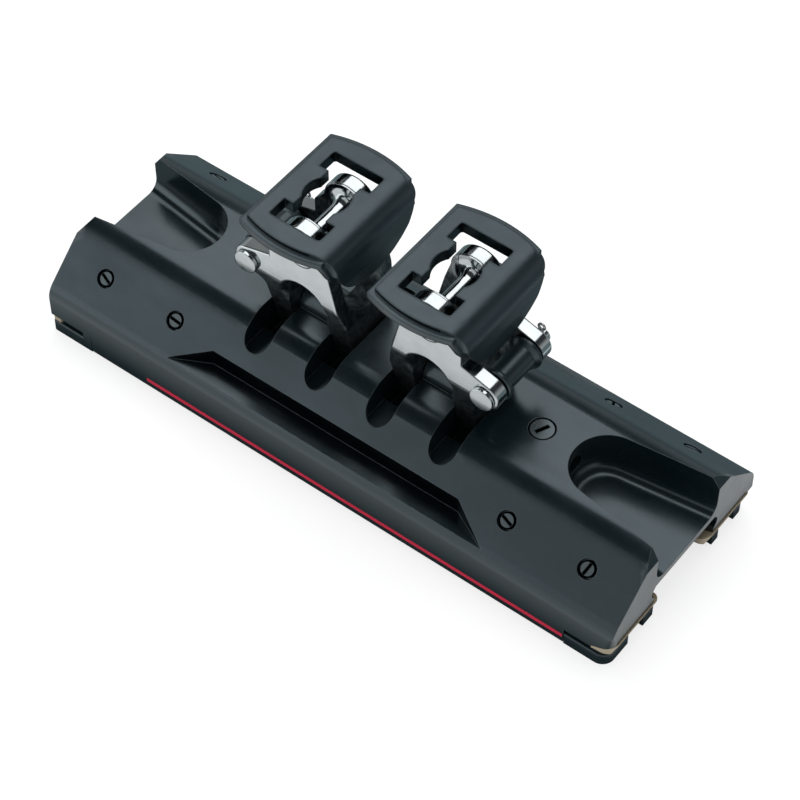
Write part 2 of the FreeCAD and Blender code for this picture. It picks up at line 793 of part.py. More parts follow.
def end_pieces():
    """Caps and plates of all four corners, mirrored where they are alike."""
    far = make_right_cap("end_cap_right_far", S["tab_far"], S["notch_far"], S["notch_far_end"])
    near = make_right_cap("cap_right", S["tab_near"], S["notch_near"], S["notch_near_end"])
    left = make_left_cap("cap_left")
    left_far = mirror_copy(left, "end_cap_left_far", (1, 0, 0))
    plate = make_right_plate()
    left_plate = mirror_copy(make_left_plate(), "turn_plate_left_far", (1, 0, 0))
    return [far, mirror_copy(near, "end_cap_right_near", (0, 1, 0)), left_far,
            mirror_copy(left_far, "end_cap_left_near", (0, 1, 0)), plate,
            mirror_copy(plate, "turn_plate_right_near", (0, 1, 0)), left_plate,
            mirror_copy(left_plate, "turn_plate_left_near", (0, 1, 0))]


def make_cap_screw():
    body = new_body("cap_screw")
    head = new_sketch(body, "Head", "XY")
    draw_circle(head, 0, 0, S["cap_screw_head"] / 2)
    grow(body, head, S["cap_top"] / 2 - S["gap"] * 2)
    shank = new_sketch(body, "Shank", "XY")
    draw_circle(shank, 0, 0, S["cap_screw_shank"] / 2)
    grow(body, shank, S["cap_screw_reach"])
    slot = new_sketch(body, "Slot", "XY")
    draw_box(slot, -S["screw_slot"] / 2, -S["cap_screw_head"], S["screw_slot"] / 2, S["cap_screw_head"])
    carve(body, slot, S["screw_slot"], back=True)
    place(body, S["cap_screw_x"], cap_middle(), S["gap"] * 2)
    return body


# Slotted screws in the slopes, each turned as it was left, and the plugs that lock the hinge rods
SCREW_TURNS = {(1, -1): (78.0, -19.0), (-1, -1): (-23.0, -5.0),
               (1, 1): (35.0, 112.0), (-1, 1): (158.0, 61.0)}


def about_z(angle):
    return FreeCAD.Rotation(FreeCAD.Vector(0, 0, 1), angle)


def make_slope_screws(slope):
    body = new_body("slope_screw")
    head = new_sketch(body, "Head", "XY")
    draw_circle(head, 0, 0, S["screw_head"] / 2)
    grow(body, head, S["screw_head_height"])
    soften(body, lambda e: middle_of(e).z > 1 and e.Length > 20, S["gap"] * 2)
    shank = new_sketch(body, "Shank", "XY")
    draw_circle(shank, 0, 0, S["screw_shank"] / 2)
    grow(body, shank, S["screw_reach"] - S["screw_recess_depth"], back=True)
    slot = new_sketch(body, "Slot", "XY", S["screw_head_height"])
    draw_middle_box(slot, S["screw_slot_length"], S["screw_slot"])
    carve(body, slot, S["screw_slot"])
    lean = math.degrees(math.atan(slope))
    screws = []
    for (end, side), turns in SCREW_TURNS.items():
        tilt = FreeCAD.Rotation(FreeCAD.Vector(1, 0, 0), -lean * side)
        sink = tilt.multVec(FreeCAD.Vector(0, 0, -float(S["screw_recess_depth"])))
        for x, spin in zip((S["slope_screw_outer"], S["slope_screw_inner"]), turns):
            screw = together("slope_screw_%d" % (len(screws) + 1), [body])
            spot = FreeCAD.Vector(float(x) * end, float(S["slope_screw_y"]) * side, slope_height(slope))
            screw.Placement = FreeCAD.Placement(spot + sink, tilt * about_z(spin))
            screws.append(screw)
    return together("slope_screws", screws)


def make_plugs():
    body = new_body("centre_plug")
    disc = new_sketch(body, "Disc", "XY")
    draw_circle(disc, 0, 0, S["plug_diameter"] / 2)
    low = S["hinge_height"] + S["rod_diameter"] / 2 + S["gap"]
    top = S["body_top"] - low - S["gap"]
    grow(body, disc, top)
    soften(body, lambda e: middle_of(e).z > 5 and e.Length > 20, S["gap"] * 4, "PartDesign::Chamfer")
    slot = new_sketch(body, "Slot", "XY", top)
    draw_middle_box(slot, S["plug_slot_length"], S["plug_slot"])
    carve(body, slot, S["plug_slot"])
    plugs = []
    for side in (1, -1):
        plug = together("centre_plug_%d" % (2 - side), [body])
        spot = FreeCAD.Vector(float(S["plug_x"]) * side, 0, float(low))
        plug.Placement = FreeCAD.Placement(spot, about_z(float(S["plug_slot_turn"]) * side))
        plugs.append(plug)
    return together("centre_plugs", plugs)


def make_hinge_rod():
    rod = DOC.addObject("Part::Cylinder", "hinge_rod_right")
    rod.Label = "hinge_rod_right"
    rod.setExpression("Radius", words(S["rod_diameter"] / 2))
    rod.setExpression("Height", words(S["rod_end"] - S["rod_start"] - S["gap"]))
    start = FreeCAD.Vector(float(S["rod_start"] + S["gap"]), 0, float(S["hinge_height"]))
    rod.Placement = FreeCAD.Placement(start, FreeCAD.Rotation(FreeCAD.Vector(0, 1, 0), 90))
    return rod


# Loaded ball rows and the strips that keep the balls in their grooves
def make_balls():
    balls = []
    pitch = float(S["ball_diameter"] + S["ball_gap"])
    reach = float(S["relief_start"]) - float(S["ball_diameter"]) / 2
    count = int(reach / pitch)
    for step in range(-count, count + 1):
        ball = DOC.addObject("Part::Sphere", "Ball")
        ball.setExpression("Radius", words(S["ball_diameter"] / 2))
        spot = FreeCAD.Vector(step * pitch, float(S["race_y"]), float(S["race_height"]))
        ball.Placement = FreeCAD.Placement(spot, FreeCAD.Rotation())
        balls.append(ball)
    return together("balls_far", balls)


def race_edge(y, side):
    reach = float(S["race_round"]) ** 2 - (float(y) - float(S["race_y"])) ** 2
    return S["race_height"] + side * math.sqrt(reach)


def make_ball_rails():
    inner = S["rail_inner"]
    outer = S["track_gap"] / 2
    length = S["relief_start"] * 2
    low = new_body("ball_rail_low")
    sketch = new_sketch(low, "LowSection", "YZ")
    draw_outline(sketch, [(inner, S["rail_low"]), (outer, S["rail_low"]),
                          (outer, race_edge(outer, -1), S["race_round"], -1), (inner, race_edge(inner, -1))])
    grow(low, sketch, length, middle=True)
    high = new_body("ball_rail_high")
    sketch = new_sketch(high, "HighSection", "YZ")
    brow = S["race_y"] - S["rail_brow"]
    draw_outline(sketch, [(inner, race_edge(inner, 1), S["race_round"], -1), (brow, race_edge(brow, 1)),
                          (brow, S["web_under"]), (inner, S["web_under"])])
    grow(high, sketch, length, middle=True)
    far = together("ball_rails_far", [low, high])
    near = mirror_copy(far, "ball_rails_near", (0, 1, 0))
    return together("ball_rails", [far, near])


def make_stripes():
    near = DOC.addObject("Part::Box", "stripe_near")
    near.setExpression("Length", words(S["stripe_left"] + S["stripe_right"]))
    near.setExpression("Width", words(S["stripe_depth"] + S["stripe_proud"]))
    near.setExpression("Height", words(S["stripe_high"] - S["stripe_low"]))
    place(near, -S["stripe_left"], -(S["body_width"] / 2 + S["stripe_proud"]), S["stripe_low"])
    far = DOC.addObject("Part::Box", "stripe_far")
    far.setExpression("Length", words(S["stripe_left"] + S["stripe_right"]))
    far.setExpression("Width", words(S["stripe_depth"] + S["stripe_proud"]))
    far.setExpression("Height", words(S["stripe_high"] - S["stripe_low"]))
    place(far, -S["stripe_right"], S["body_width"] / 2 - S["stripe_depth"], S["stripe_low"])
    return together("side_stripes", [near, far])


# Toggle yoke: two arched cheeks with control arms, on two legs about the hinge rod
def make_yoke():
    body = new_body("yoke_right")
    half = S["yoke_width"] / 2
    foot = S["hinge_height"] - S["leg_round"]
    lean = math.radians(float(S["arm_lean"]))
    under = S["pin_height"] - S["arm_round"]
    side = new_sketch(body, "Side", "XZ")
    draw_outline(side, [
        (-S["leg_outer"], foot), (S["leg_outer"], foot),
        (S["leg_outer"], under - S["arm_root"], S["arm_root"], -1), (S["leg_outer"] + S["arm_root"], under),
        (S["pin_u"], under, S["arm_round"], 1),
        (S["pin_u"] + S["arm_round"] * math.sin(lean), S["pin_height"] + S["arm_round"] * math.cos(lean)),
        (S["arm_step_u"], S["arm_step_low"]), (S["arm_step_u"], S["arm_step_high"]),
        (S["boss_round"], S["boss_height"], S["boss_round"], 1), (-S["boss_round"], S["boss_height"]),
        (-S["neck_u"], S["neck"]), (-S["waist_u"], S["waist"]), (-S["waist_low_u"], S["waist_low"]),
        (-S["leg_outer"], S["leg_top"])])
    grow(body, side, S["yoke_width"], middle=True)

    # Arch through both cheeks, between the legs
    arch = new_sketch(body, "Arch", "XZ")
    tilt = math.radians(float(S["arch_lean"]))
    haunch_u = S["arch_round"] * math.cos(tilt)
    haunch_z = S["arch_centre"] - S["arch_round"] * math.sin(tilt)
    spring = haunch_z - (haunch_u - S["leg_inner"]) / math.tan(tilt)
    draw_outline(arch, [
        (-S["leg_inner"], foot - 1), (S["leg_inner"], foot - 1), (S["leg_inner"], spring),
        (haunch_u, haunch_z, S["arch_round"], 1), (0, S["arch_centre"] + S["arch_round"], S["arch_round"], 1),
        (-haunch_u, haunch_z), (-S["leg_inner"], spring)])
    carve(body, arch, S["yoke_width"] + 2, middle=True)

    # Round-bottomed gap between the cheeks, and room for the roller between the arms
    gap = new_sketch(body, "Gap", "YZ")
    wide = S["cheek_gap"] / 2
    rise = S["gap_floor"] + wide
    draw_outline(gap, [(-wide, rise, wide, 1), (wide, rise), (wide, S["hood_top"]), (-wide, S["hood_top"])])
    carve(body, gap, S["pin_u"] * 4, middle=True)
    room = new_sketch(body, "RollerRoom", "XZ")
    draw_circle(room, S["pin_u"], S["pin_height"], S["roller_room"])
    carve(body, room, S["cheek_gap"], middle=True)

    # Legs narrow below a soft shoulder and end round about the hinge
    lift = S["shoulder_height"] - S["hinge_height"]
    spread = math.hypot(float(half), float(lift))
    aim = math.acos(float(S["leg_round"]) / spread) - math.atan2(float(lift), float(half))
    soft = S["shoulder_round"] * math.tan(aim / 2)
    for label, hand in (("TaperFar", 1), ("TaperNear", -1)):
        taper = new_sketch(body, label, "YZ")
        draw_outline(taper, [
            (half * hand, S["shoulder_height"] + soft, S["shoulder_round"], -hand),
            ((half - soft * math.sin(aim)) * hand, S["shoulder_height"] - soft * math.cos(aim)),
            (S["leg_round"] * math.cos(aim) * hand, S["hinge_height"] - S["leg_round"] * math.sin(aim),
             S["leg_round"], -hand),
            (0, foot), (0, foot - 2), ((half + 2) * hand, foot - 2),
            ((half + 2) * hand, S["shoulder_height"] + soft)])
        carve(body, taper, S["pin_u"] * 4, middle=True)

    # Softened edges: the arch is well rounded, the outline only broken
    skin = YokeSkin(half, aim)
    soften(body, lambda e: skin.holds(e) and skin.by_arch(e), S["arch_edge"])
    soften(body, lambda e: skin.holds(e) and not skin.by_arch(e), S["yoke_edge"])

    # Hinge bore, pin bore and trunnion windows
    hinge = new_sketch(body, "HingeBore", "YZ")
    draw_circle(hinge, 0, S["hinge_height"], S["rod_diameter"] / 2 + S["fit"])
    carve(body, hinge, S["pin_u"] * 4, middle=True)
    bores = new_sketch(body, "PinBore", "XZ")
    draw_circle(bores, S["pin_u"], S["pin_height"], S["pin_diameter"] / 2 + S["fit"])
    carve(body, bores, S["yoke_width"] + 2, middle=True)
    window = new_sketch(body, "TrunnionWindow", "XZ")
    draw_stadium(window, S["trunnion_round"])
    carve(body, window, S["yoke_width"] + 2, middle=True)
    place(body, S["toggle_pitch"])
    return body


class YokeSkin:
    """The outer faces of both cheeks, and of the legs as they narrow below the shoulder."""

    def __init__(self, half, aim):
        self.half = float(half)
        self.slope = math.tan(aim)

    def depth(self, spot):
        drop = max(0.0, float(S["shoulder_height"]) - spot.z)
        return abs(spot.y) - self.half + drop * self.slope

    def holds(self, edge):
        first, last = edge.FirstParameter, edge.LastParameter
        spots = [edge.valueAt(first + (last - first) * step / 4) for step in range(5)]
        low = min(spot.z for spot in spots)
        level = max(spot.z for spot in spots) - low < 0.01
        sides = max(spot.y for spot in spots) - min(spot.y for spot in spots)
        inner = level and sides < 0.01 and low < float(S["shoulder_height"]) + 4
        return all(abs(self.depth(spot)) < 0.2 for spot in spots) and low > float(S["leg_clear"]) and not inner

    def by_arch(self, edge):
        spot = middle_of(edge)
        crown = float(S["arch_centre"] + S["arch_round"])
        return abs(spot.x) < float(S["arch_round"]) + 0.1 and spot.z < crown + 0.1


def draw_stadium(sketch, radius):
    draw_outline(sketch, [(radius, S["trunnion_low"]), (radius, S["spool_height"], radius, 1),
                          (-radius, S["spool_height"]), (-radius, S["trunnion_low"], radius, 1)])


# Trunnion blocks, flush in the cheeks, with the spigots that carry the spool
def make_trunnions():
    body = new_body("trunnion_right")
    face = S["yoke_width"] / 2
    wide = S["cheek_gap"] / 2
    block = new_sketch(body, "Block", "XZ", wide)
    draw_stadium(block, S["trunnion_round"] - S["fit"])
    grow(body, block, face - wide)
    soften(body, lambda e: abs(middle_of(e).y + float(face)) < 0.01, S["gap"] * 2, "PartDesign::Chamfer")
    spigot = new_sketch(body, "Spigot", "XZ", wide)
    draw_circle(spigot, 0, S["spool_height"], S["spigot_diameter"] / 2)
    grow(body, spigot, S["spigot_reach"], back=True)
    hole = new_sketch(body, "ScrewHole", "XZ", face)
    draw_circle(hole, 0, S["hood_screw_height"], S["hood_screw_shank"] / 2 + S["fit"])
    carve(body, hole, S["hood_screw_depth"])
    place(body, S["toggle_pitch"])
    far = mirror_copy(body, "trunnion_right_far", (0, 1, 0))
    return together("trunnions_right", [body, far])


def make_spool():
    body = new_body("spool_right")
    sketch = new_sketch(body, "Flare", "XY", S["spool_height"])
    bore = S["spigot_diameter"] / 2 + S["fit"]
    deep = S["spool_half"] - S["spigot_reach"] - S["gap"]
    lip = S["spool_half"] - S["spool_lip"]
    flare = lip - S["spool_neck_half"]
    turn_x = S["spool_neck"] + flare
    draw_outline(sketch, [
        (0, -deep), (bore, -deep), (bore, -S["spool_half"]), (S["spool_rim"], -S["spool_half"]),
        (S["spool_rim"], -lip), (turn_x, -lip, flare, -1), (S["spool_neck"], -S["spool_neck_half"]),
        (S["spool_neck"], S["spool_neck_half"], flare, -1), (turn_x, lip), (S["spool_rim"], lip),
        (S["spool_rim"], S["spool_half"]), (bore, S["spool_half"]), (bore, deep), (0, deep)])
    turned(body, sketch, "V_Axis")
    place(body, S["toggle_pitch"])
    return body


# Hood: a moulded top plate with a shaped window, a stepped lip and a rounded flap on one side
def make_hood():
    body = new_body("hood_right")
    under = S["hood_top"] - S["hood_plate"]
    bend = S["hood_bend"]
    axis = S["hood_bulge"] - bend
    low_bend = S["hood_top"] - bend
    inner_bend = under - low_bend
    inner_x = S["hood_bulge"] - S["hood_wall"]
    side = new_sketch(body, "SideProfile", "XZ")
    draw_outline(side, [
        (-S["hood_back"], under), (-S["hood_back"], S["hood_top"]), (axis, S["hood_top"], bend, -1),
        (S["hood_bulge"], low_bend), (S["hood_bulge"], S["flap_straight"]),
        (S["hood_bulge"] - S["flap_draft"], S["flap_low"] - 1),
        (inner_x - S["flap_draft"], S["flap_low"] - 1), (inner_x, S["flap_straight"]),
        (inner_x, low_bend, inner_bend, 1), (inner_x - inner_bend, under)])
    grow(body, side, S["hood_middle"] * 2 + 4, middle=True)

    # Plan: bowed ends and a slightly narrower flap
    plan = new_sketch(body, "Plan", "XY", S["hood_top"] + 1)
    edge = S["hood_bulge"] + 12
    draw_box(plan, -edge, -S["hood_middle"] - 10, edge, S["hood_middle"] + 10)
    draw_plan(plan)
    carve(body, plan, S["hood_top"] - S["flap_low"] + 4)

    # The flap ends in one round tongue
    tongue = new_sketch(body, "Tongue", "YZ", S["hood_front"] - 2)
    top = S["flap_low"] + S["flap_sag"]
    wide = math.sqrt(float(S["flap_round"]) ** 2 - float(S["flap_round"] - S["flap_sag"]) ** 2)
    aside = S["hood_flap_half"] + 9
    draw_outline(tongue, [
        (-aside, S["flap_low"] - 4), (aside, S["flap_low"] - 4), (aside, top),
        (wide, top, S["flap_round"], -1), (-wide, top), (-aside, top)])
    carve(body, tongue, S["hood_wall"] * 4, back=True)

    # Stepped lip round the plate, and its run down both edges of the flap
    flange = new_sketch(body, "Flange", "XY", S["flange_low"])
    draw_flange(flange)
    grow(body, flange, S["flange_high"] - S["flange_low"])
    reach = flange_corner()
    outside = S["flange_high"] - low_bend
    inside = S["flange_low"] - low_bend
    for label, offset, back in (("LipFar", -S["lip_inside"], True), ("LipNear", S["lip_inside"], False)):
        lip = new_sketch(body, label, "XZ", offset)
        draw_outline(lip, [
            (axis - 3, S["flange_low"]), (axis, S["flange_low"], inside, -1), (axis + inside, low_bend),
            (axis + inside, S["lip_foot"]), (axis + outside, S["lip_foot"]),
            (axis + outside, low_bend, outside, 1), (axis, S["flange_high"]), (axis - 3, S["flange_high"])])
        grow(body, lip, reach - S["lip_inside"], back=back)
    for label, hand in (("TrimFar", 1), ("TrimNear", -1)):
        trim = new_sketch(body, label, "YZ", axis - 5)
        draw_outline(trim, [
            (reach * hand, S["flange_low"], S["lip_round"], -hand), (S["lip_foot_y"] * hand, S["lip_foot"]),
            (S["lip_foot_y"] * hand, S["lip_foot"] - 3), ((reach + 3) * hand, S["lip_foot"] - 3),
            ((reach + 3) * hand, S["flange_low"])])
        carve(body, trim, S["hood_bulge"], back=True)

    # Window: two square ends, a neck and a round middle
    ends = new_sketch(body, "WindowEnds", "XY", S["hood_top"] + 1)
    draw_box(ends, -S["window_half_x"], S["window_step"], S["window_half_x"], S["window_half_y"])
    draw_box(ends, -S["window_half_x"], -S["window_half_y"], S["window_half_x"], -S["window_step"])
    carve(body, ends, S["hood_plate"] + 2)
    neck = new_sketch(body, "WindowNeck", "XY", S["hood_top"] + 1)
    draw_box(neck, -S["window_neck"], -S["window_step"] - 1, S["window_neck"], S["window_step"] + 1)
    carve(body, neck, S["hood_plate"] + 2)
    middle = new_sketch(body, "WindowMiddle", "XY", S["hood_top"] + 1)
    draw_circle(middle, 0, 0, S["window_round"])
    carve(body, middle, S["hood_plate"] + 2)
    soften(body, at_window_corner, S["window_corner"])

    # Straps that reach back along the outside of the cheeks, with holes for the hood screws
    face = S["yoke_width"] / 2 + S["gap"]
    low = S["hood_screw_height"] - S["strap_round"]
    high = S["hood_screw_height"] + S["strap_round"]
    for label, offset, back in (("StrapNear", face, False), ("StrapFar", -face, True)):
        strap = new_sketch(body, label, "XZ", offset)
        draw_outline(strap, [
            (0, low), (inner_x + S["gap"], low), (inner_x + S["gap"], under + S["gap"]),
            (S["strap_post"], under + S["gap"]), (S["strap_post"], high), (0, high, S["strap_round"], 1)])
        grow(body, strap, S["strap_wall"], back=back)
    holes = new_sketch(body, "StrapHoles", "XZ")
    draw_circle(holes, 0, S["hood_screw_height"], S["hood_screw_shank"] / 2 + S["fit"])
    carve(body, holes, S["hood_flap_half"] * 2, middle=True)
    place(body, S["toggle_pitch"])
    return body


def at_window_corner(edge):
    spot = middle_of(edge)
    upright = edge.BoundBox.XLength < 0.01 and edge.BoundBox.YLength < 0.01
    return upright and abs(abs(spot.x) - float(S["window_half_x"])) < 0.01 \
        and abs(abs(spot.y) - float(S["window_half_y"])) < 0.01


def bow_of(half_chord, sag):
    return (half_chord * half_chord + sag * sag) / (sag * 2)


def draw_plan(sketch):
    back = S["hood_back"]
    front = S["hood_front"]
    corner = S["hood_corner"]
    bow = bow_of((back + front) / 2, S["hood_middle"] - corner)
    edge = S["hood_bulge"] + 1
    draw_outline(sketch, [
        (-back, -corner, bow, 1), (front, -corner), (edge, -S["hood_flap_half"]),
        (edge, S["hood_flap_half"]), (front, corner, bow, 1), (-back, corner)])


def flange_corner():
    return S["hood_corner"] + S["flange_corner_out"]


def draw_flange(sketch):
    back = S["hood_back"] + S["flange_back"]
    front = S["hood_front"] + S["gap"]
    corner = flange_corner()
    bow = bow_of((back + front) / 2, S["hood_middle"] + S["flange_out"] - corner)
    draw_outline(sketch, [
        (-back, -corner, bow, 1), (front, -corner), (front, corner, bow, 1), (-back, corner)])


def make_hood_screws():
    body = new_body("hood_screw_right")
    face = S["yoke_width"] / 2 + S["gap"] + S["strap_wall"]
    head = new_sketch(body, "Head", "XZ", face)
    draw_circle(head, 0, S["hood_screw_height"], S["hood_screw_head"] / 2)
    grow(body, head, S["hood_screw_rise"])
    shank = new_sketch(body, "Shank", "XZ", face)
    draw_circle(shank, 0, S["hood_screw_height"], S["hood_screw_shank"] / 2)
    grow(body, shank, S["gap"] + S["strap_wall"] + S["hood_screw_depth"] - S["gap"] * 2, back=True)
    slot = new_sketch(body, "Slot", "XZ", face + S["hood_screw_rise"])
    draw_box(slot, -S["hood_screw_head"], S["hood_screw_height"] - S["screw_slot"] / 2,
             S["hood_screw_head"], S["hood_screw_height"] + S["screw_slot"] / 2)
    carve(body, slot, S["hood_screw_rise"] / 2)
    place(body, S["toggle_pitch"])
    far = mirror_copy(body, "hood_screw_right_far", (0, 1, 0))
    return together("hood_screws_right", [body, far])


# Control pin, its split pin and the flanged roller on it
def make_control_pin():
    body = new_body("control_pin_right")
    face = S["yoke_width"] / 2 + S["gap"] * 2
    radius = S["pin_diameter"] / 2
    head = S["pin_head"] / 2
    rim = S["pin_head_edge"]
    edge = S["gap"] * 3
    top = -(face + S["pin_head_height"])
    shape = new_sketch(body, "PinShape", "XY", S["pin_height"])
    draw_outline(shape, [
        (0, top), (head - rim, top), (head, top + rim), (head, -face), (radius, -face),
        (radius, S["pin_tail"] - edge), (radius - edge, S["pin_tail"]), (0, S["pin_tail"])])
    turned(body, shape, "V_Axis")
    hole = new_sketch(body, "SplitHole", "XY", S["pin_height"])
    draw_circle(hole, 0, S["ring_seat"], S["ring_wire"] + S["fit"])
    carve(body, hole, S["pin_diameter"] * 2, middle=True)
    place(body, S["toggle_pitch"] + S["pin_u"])
    return body


def make_split_pin():
    radius = S["ring_wire"]
    leg = DOC.addObject("Part::Cylinder", "SplitLeg")
    leg.setExpression("Radius", words(radius))
    leg.setExpression("Height", words(S["pin_diameter"] + S["ring_wire"] * 4))
    place(leg, S["toggle_pitch"] + S["pin_u"], S["ring_seat"],
          S["pin_height"] - S["pin_diameter"] / 2 - S["ring_wire"] * 3)
    eye = DOC.addObject("Part::Torus", "SplitEye")
    eye.setExpression("Radius1", words(S["ring_eye"]))
    eye.setExpression("Radius2", words(S["ring_eye_wire"]))
    centre = FreeCAD.Vector(float(S["toggle_pitch"] + S["pin_u"]), float(S["ring_seat"]),
                            float(S["pin_height"] + S["pin_diameter"] / 2 + S["ring_wire"] * 3))
    eye.Placement = FreeCAD.Placement(centre, FreeCAD.Rotation(FreeCAD.Vector(1, 0, 0), 90))
    pin = DOC.addObject("Part::Fuse", "split_pin_right")
    pin.Label = "split_pin_right"
    pin.Base = leg
    pin.Tool = eye
    return pin


def make_roller():
    body = new_body("roller_right")
    bore = S["pin_diameter"] / 2 + S["fit"]
    rim = S["roller_rim"]
    half = S["roller_half"]
    shape = new_sketch(body, "RollerShape", "XY", S["pin_height"])
    edge = S["roller_edge"]
    lip = S["roller_lip"]
    draw_outline(shape, [
        (bore, -half), (rim - edge, -half), (rim, -half + edge), (rim, -half + lip),
        (S["roller_waist"], -half + lip * 2), (S["roller_waist"], half - lip * 2), (rim, half - lip),
        (rim, half - edge), (rim - edge, half), (bore, half)])
    turned(body, shape, "V_Axis")
    place(body, S["toggle_pitch"] + S["pin_u"])
    return body


def both_toggles(source):
    left = mirror_copy(source, source.Label.replace("right", "left"), (1, 0, 0))
    return [source, left]


def left_hood(source):
    """The left hood faces the same way as the right one, so it is moved and not mirrored."""
    left = DOC.addObject("Part::Compound", "hood_left")
    left.Label = "hood_left"
    left.Links = [source]
    place(left, S["toggle_pitch"] * -2)
    return left


def main():
    body, slope = make_car_body()
    add_cap_holes(body)
    pieces = [body]
    pieces += end_pieces()
    cap_screw = make_cap_screw()
    left = mirror_copy(cap_screw, "cap_screw_left", (1, 0, 0))
    far = together("cap_screws_far", [cap_screw, left])
    near = mirror_copy(far, "cap_screws_near", (0, 1, 0))
    pieces.append(together("cap_screws", [far, near]))
    pieces.append(make_slope_screws(slope))
    pieces.append(make_plugs())
    pieces += both_toggles(make_hinge_rod())
    balls = make_balls()
    pieces += [balls, mirror_copy(balls, "balls_near", (0, 1, 0))]
    pieces.append(make_ball_rails())
    pieces.append(make_stripes())
    for maker in (make_yoke, make_trunnions, make_spool, make_hood_screws,
                  make_control_pin, make_split_pin, make_roller):
        pieces += both_toggles(maker())
    hood = make_hood()
    pieces += [hood, left_hood(hood)]
    DOC.recompute()

    for item in DOC.Objects:
        if "Invalid" in item.State or "Error" in item.State:
            raise RuntimeError("failed: " + item.Name)
    os.makedirs("parts", exist_ok=True)
    for piece in pieces:
        shape = piece.Shape
        if shape.isNull() or not shape.isValid() or not shape.Solids:
            raise RuntimeError("bad shape: " + piece.Label)
        print(piece.Label, len(shape.Solids), round(shape.Volume, 1))
    for piece in pieces:
        piece.Shape.exportStep("parts/" + piece.Label + ".step")


main()
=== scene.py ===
import json
import math

import bpy
from mathutils import Matrix, Vector


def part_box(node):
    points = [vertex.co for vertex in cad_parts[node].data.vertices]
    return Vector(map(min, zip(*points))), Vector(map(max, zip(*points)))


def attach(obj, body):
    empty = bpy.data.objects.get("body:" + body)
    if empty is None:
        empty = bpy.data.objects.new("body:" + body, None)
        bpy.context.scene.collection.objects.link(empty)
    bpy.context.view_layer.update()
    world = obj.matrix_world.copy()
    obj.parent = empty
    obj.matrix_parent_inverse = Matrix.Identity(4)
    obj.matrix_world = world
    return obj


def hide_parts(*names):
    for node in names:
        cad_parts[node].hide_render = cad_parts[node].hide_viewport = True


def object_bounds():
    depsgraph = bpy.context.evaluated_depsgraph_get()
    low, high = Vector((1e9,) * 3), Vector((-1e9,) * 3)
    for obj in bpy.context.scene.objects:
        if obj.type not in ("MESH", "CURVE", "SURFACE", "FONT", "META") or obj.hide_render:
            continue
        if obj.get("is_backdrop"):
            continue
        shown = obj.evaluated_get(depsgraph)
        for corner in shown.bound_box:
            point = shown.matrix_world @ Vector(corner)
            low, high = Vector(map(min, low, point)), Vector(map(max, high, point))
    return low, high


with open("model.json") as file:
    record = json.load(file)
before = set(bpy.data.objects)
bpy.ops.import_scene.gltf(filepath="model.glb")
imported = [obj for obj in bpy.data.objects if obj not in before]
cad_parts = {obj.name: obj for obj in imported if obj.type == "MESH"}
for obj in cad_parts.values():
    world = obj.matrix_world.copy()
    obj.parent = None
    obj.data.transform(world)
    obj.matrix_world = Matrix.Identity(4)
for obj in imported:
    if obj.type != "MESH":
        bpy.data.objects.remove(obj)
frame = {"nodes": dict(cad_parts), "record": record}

bl_info = {
    "name": "Traveller car studio",
    "version": (1, 0, 0),
    "blender": (4, 5, 0),
    "location": "3D View > Sidebar > Traveller",
    "description": "Finishes, bearing balls and a studio for a two-toggle traveller car",
    "category": "Object",
}


def corners_of(node):
    """The lowest and highest corner of a node of the frame, in metres."""
    low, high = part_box(node)
    return Vector(low), Vector(high)


MM = 0.001
CAR = "car"
BALL_ROWS = ("far", "near")
IMAGE_PIXELS = 800
SENSOR_MM = 36.0
BEVEL_SAMPLES = 4

BLACK = (0, 0, 0)
WHITE = (1, 1, 1)
COOL = (0.76, 0.92, 1.0)
SKY = (0.97, 0.99, 1.0)

# Specular levels of the black skins
BODY_SHINE = 0.89
MOULDED_SHINE = 0.95
SCREW_SHINE = 0.98

# Places on the body, in metres. A pair of numbers is where a soft change starts and where it ends.
# RISE and FLOOR are heights, ENDS is along the car from its middle, and SIDE and MOUTH are across it.
SLOPE = math.radians(41.9)
RIDGE_RISE = (0.048, 0.051)
RIDGE_ENDS = (0.066, 0.072)
RIDGE_SOFT = 0.007
TROUGH_RISE = (0.0314, 0.0318)
TROUGH_FLOOR = (0.0325, 0.033)
TROUGH_ENDS = (0.1015, 0.103)
TROUGH_SIDE = (0.0465, 0.047)
TROUGH_MOUTH = (0.0535, 0.0598)
# Strength of the painted shade on the side trough's wall and floor
TROUGH_WALL_SHADE = 0.6
TROUGH_FLOOR_SHADE = 0.55

# The upright part of a face's normal: 0 on a wall, 1 on a floor
WALL_FACING = (0.2, 0.5)
SLOPE_FACING = ((0.7, 0.73), (0.76, 0.8))
FLOOR_FACING = (0.9, 0.97)

# Screws: the gap that tells two apart, the painted shade in a ring round the head, the depth of the
# painted shade in the slot, and the wear
SCREW_GAP = 0.005
SCREW_GAP_SHADE = (0.7 * MM, 1.0 * MM)
SCREW_SLOT_SHADE = (0.5 * MM, 0.2 * MM)
SCREW_WEAR = 0.3

# Places on a toggle: the blocks, the spool's end and the hood's plate come from the frame.
# PITCH is the toggle's middle along the car. WINDOW_ALONG and CHEEK_ENDS are measured from there.
BLOCK_LOW, BLOCK_HIGH = corners_of("trunnions_right")
PITCH = (BLOCK_LOW.x + BLOCK_HIGH.x) / 2
BLOCK_HALF = (BLOCK_HIGH.x - BLOCK_LOW.x) / 2
BLOCK_CENTRE = BLOCK_LOW.z + BLOCK_HALF
BLOCK_GAP = 0.04 * MM
BLOCK_SEAM = (0.15 * MM, 0.4 * MM)
SPOOL_END = corners_of("spool_right")[1].y
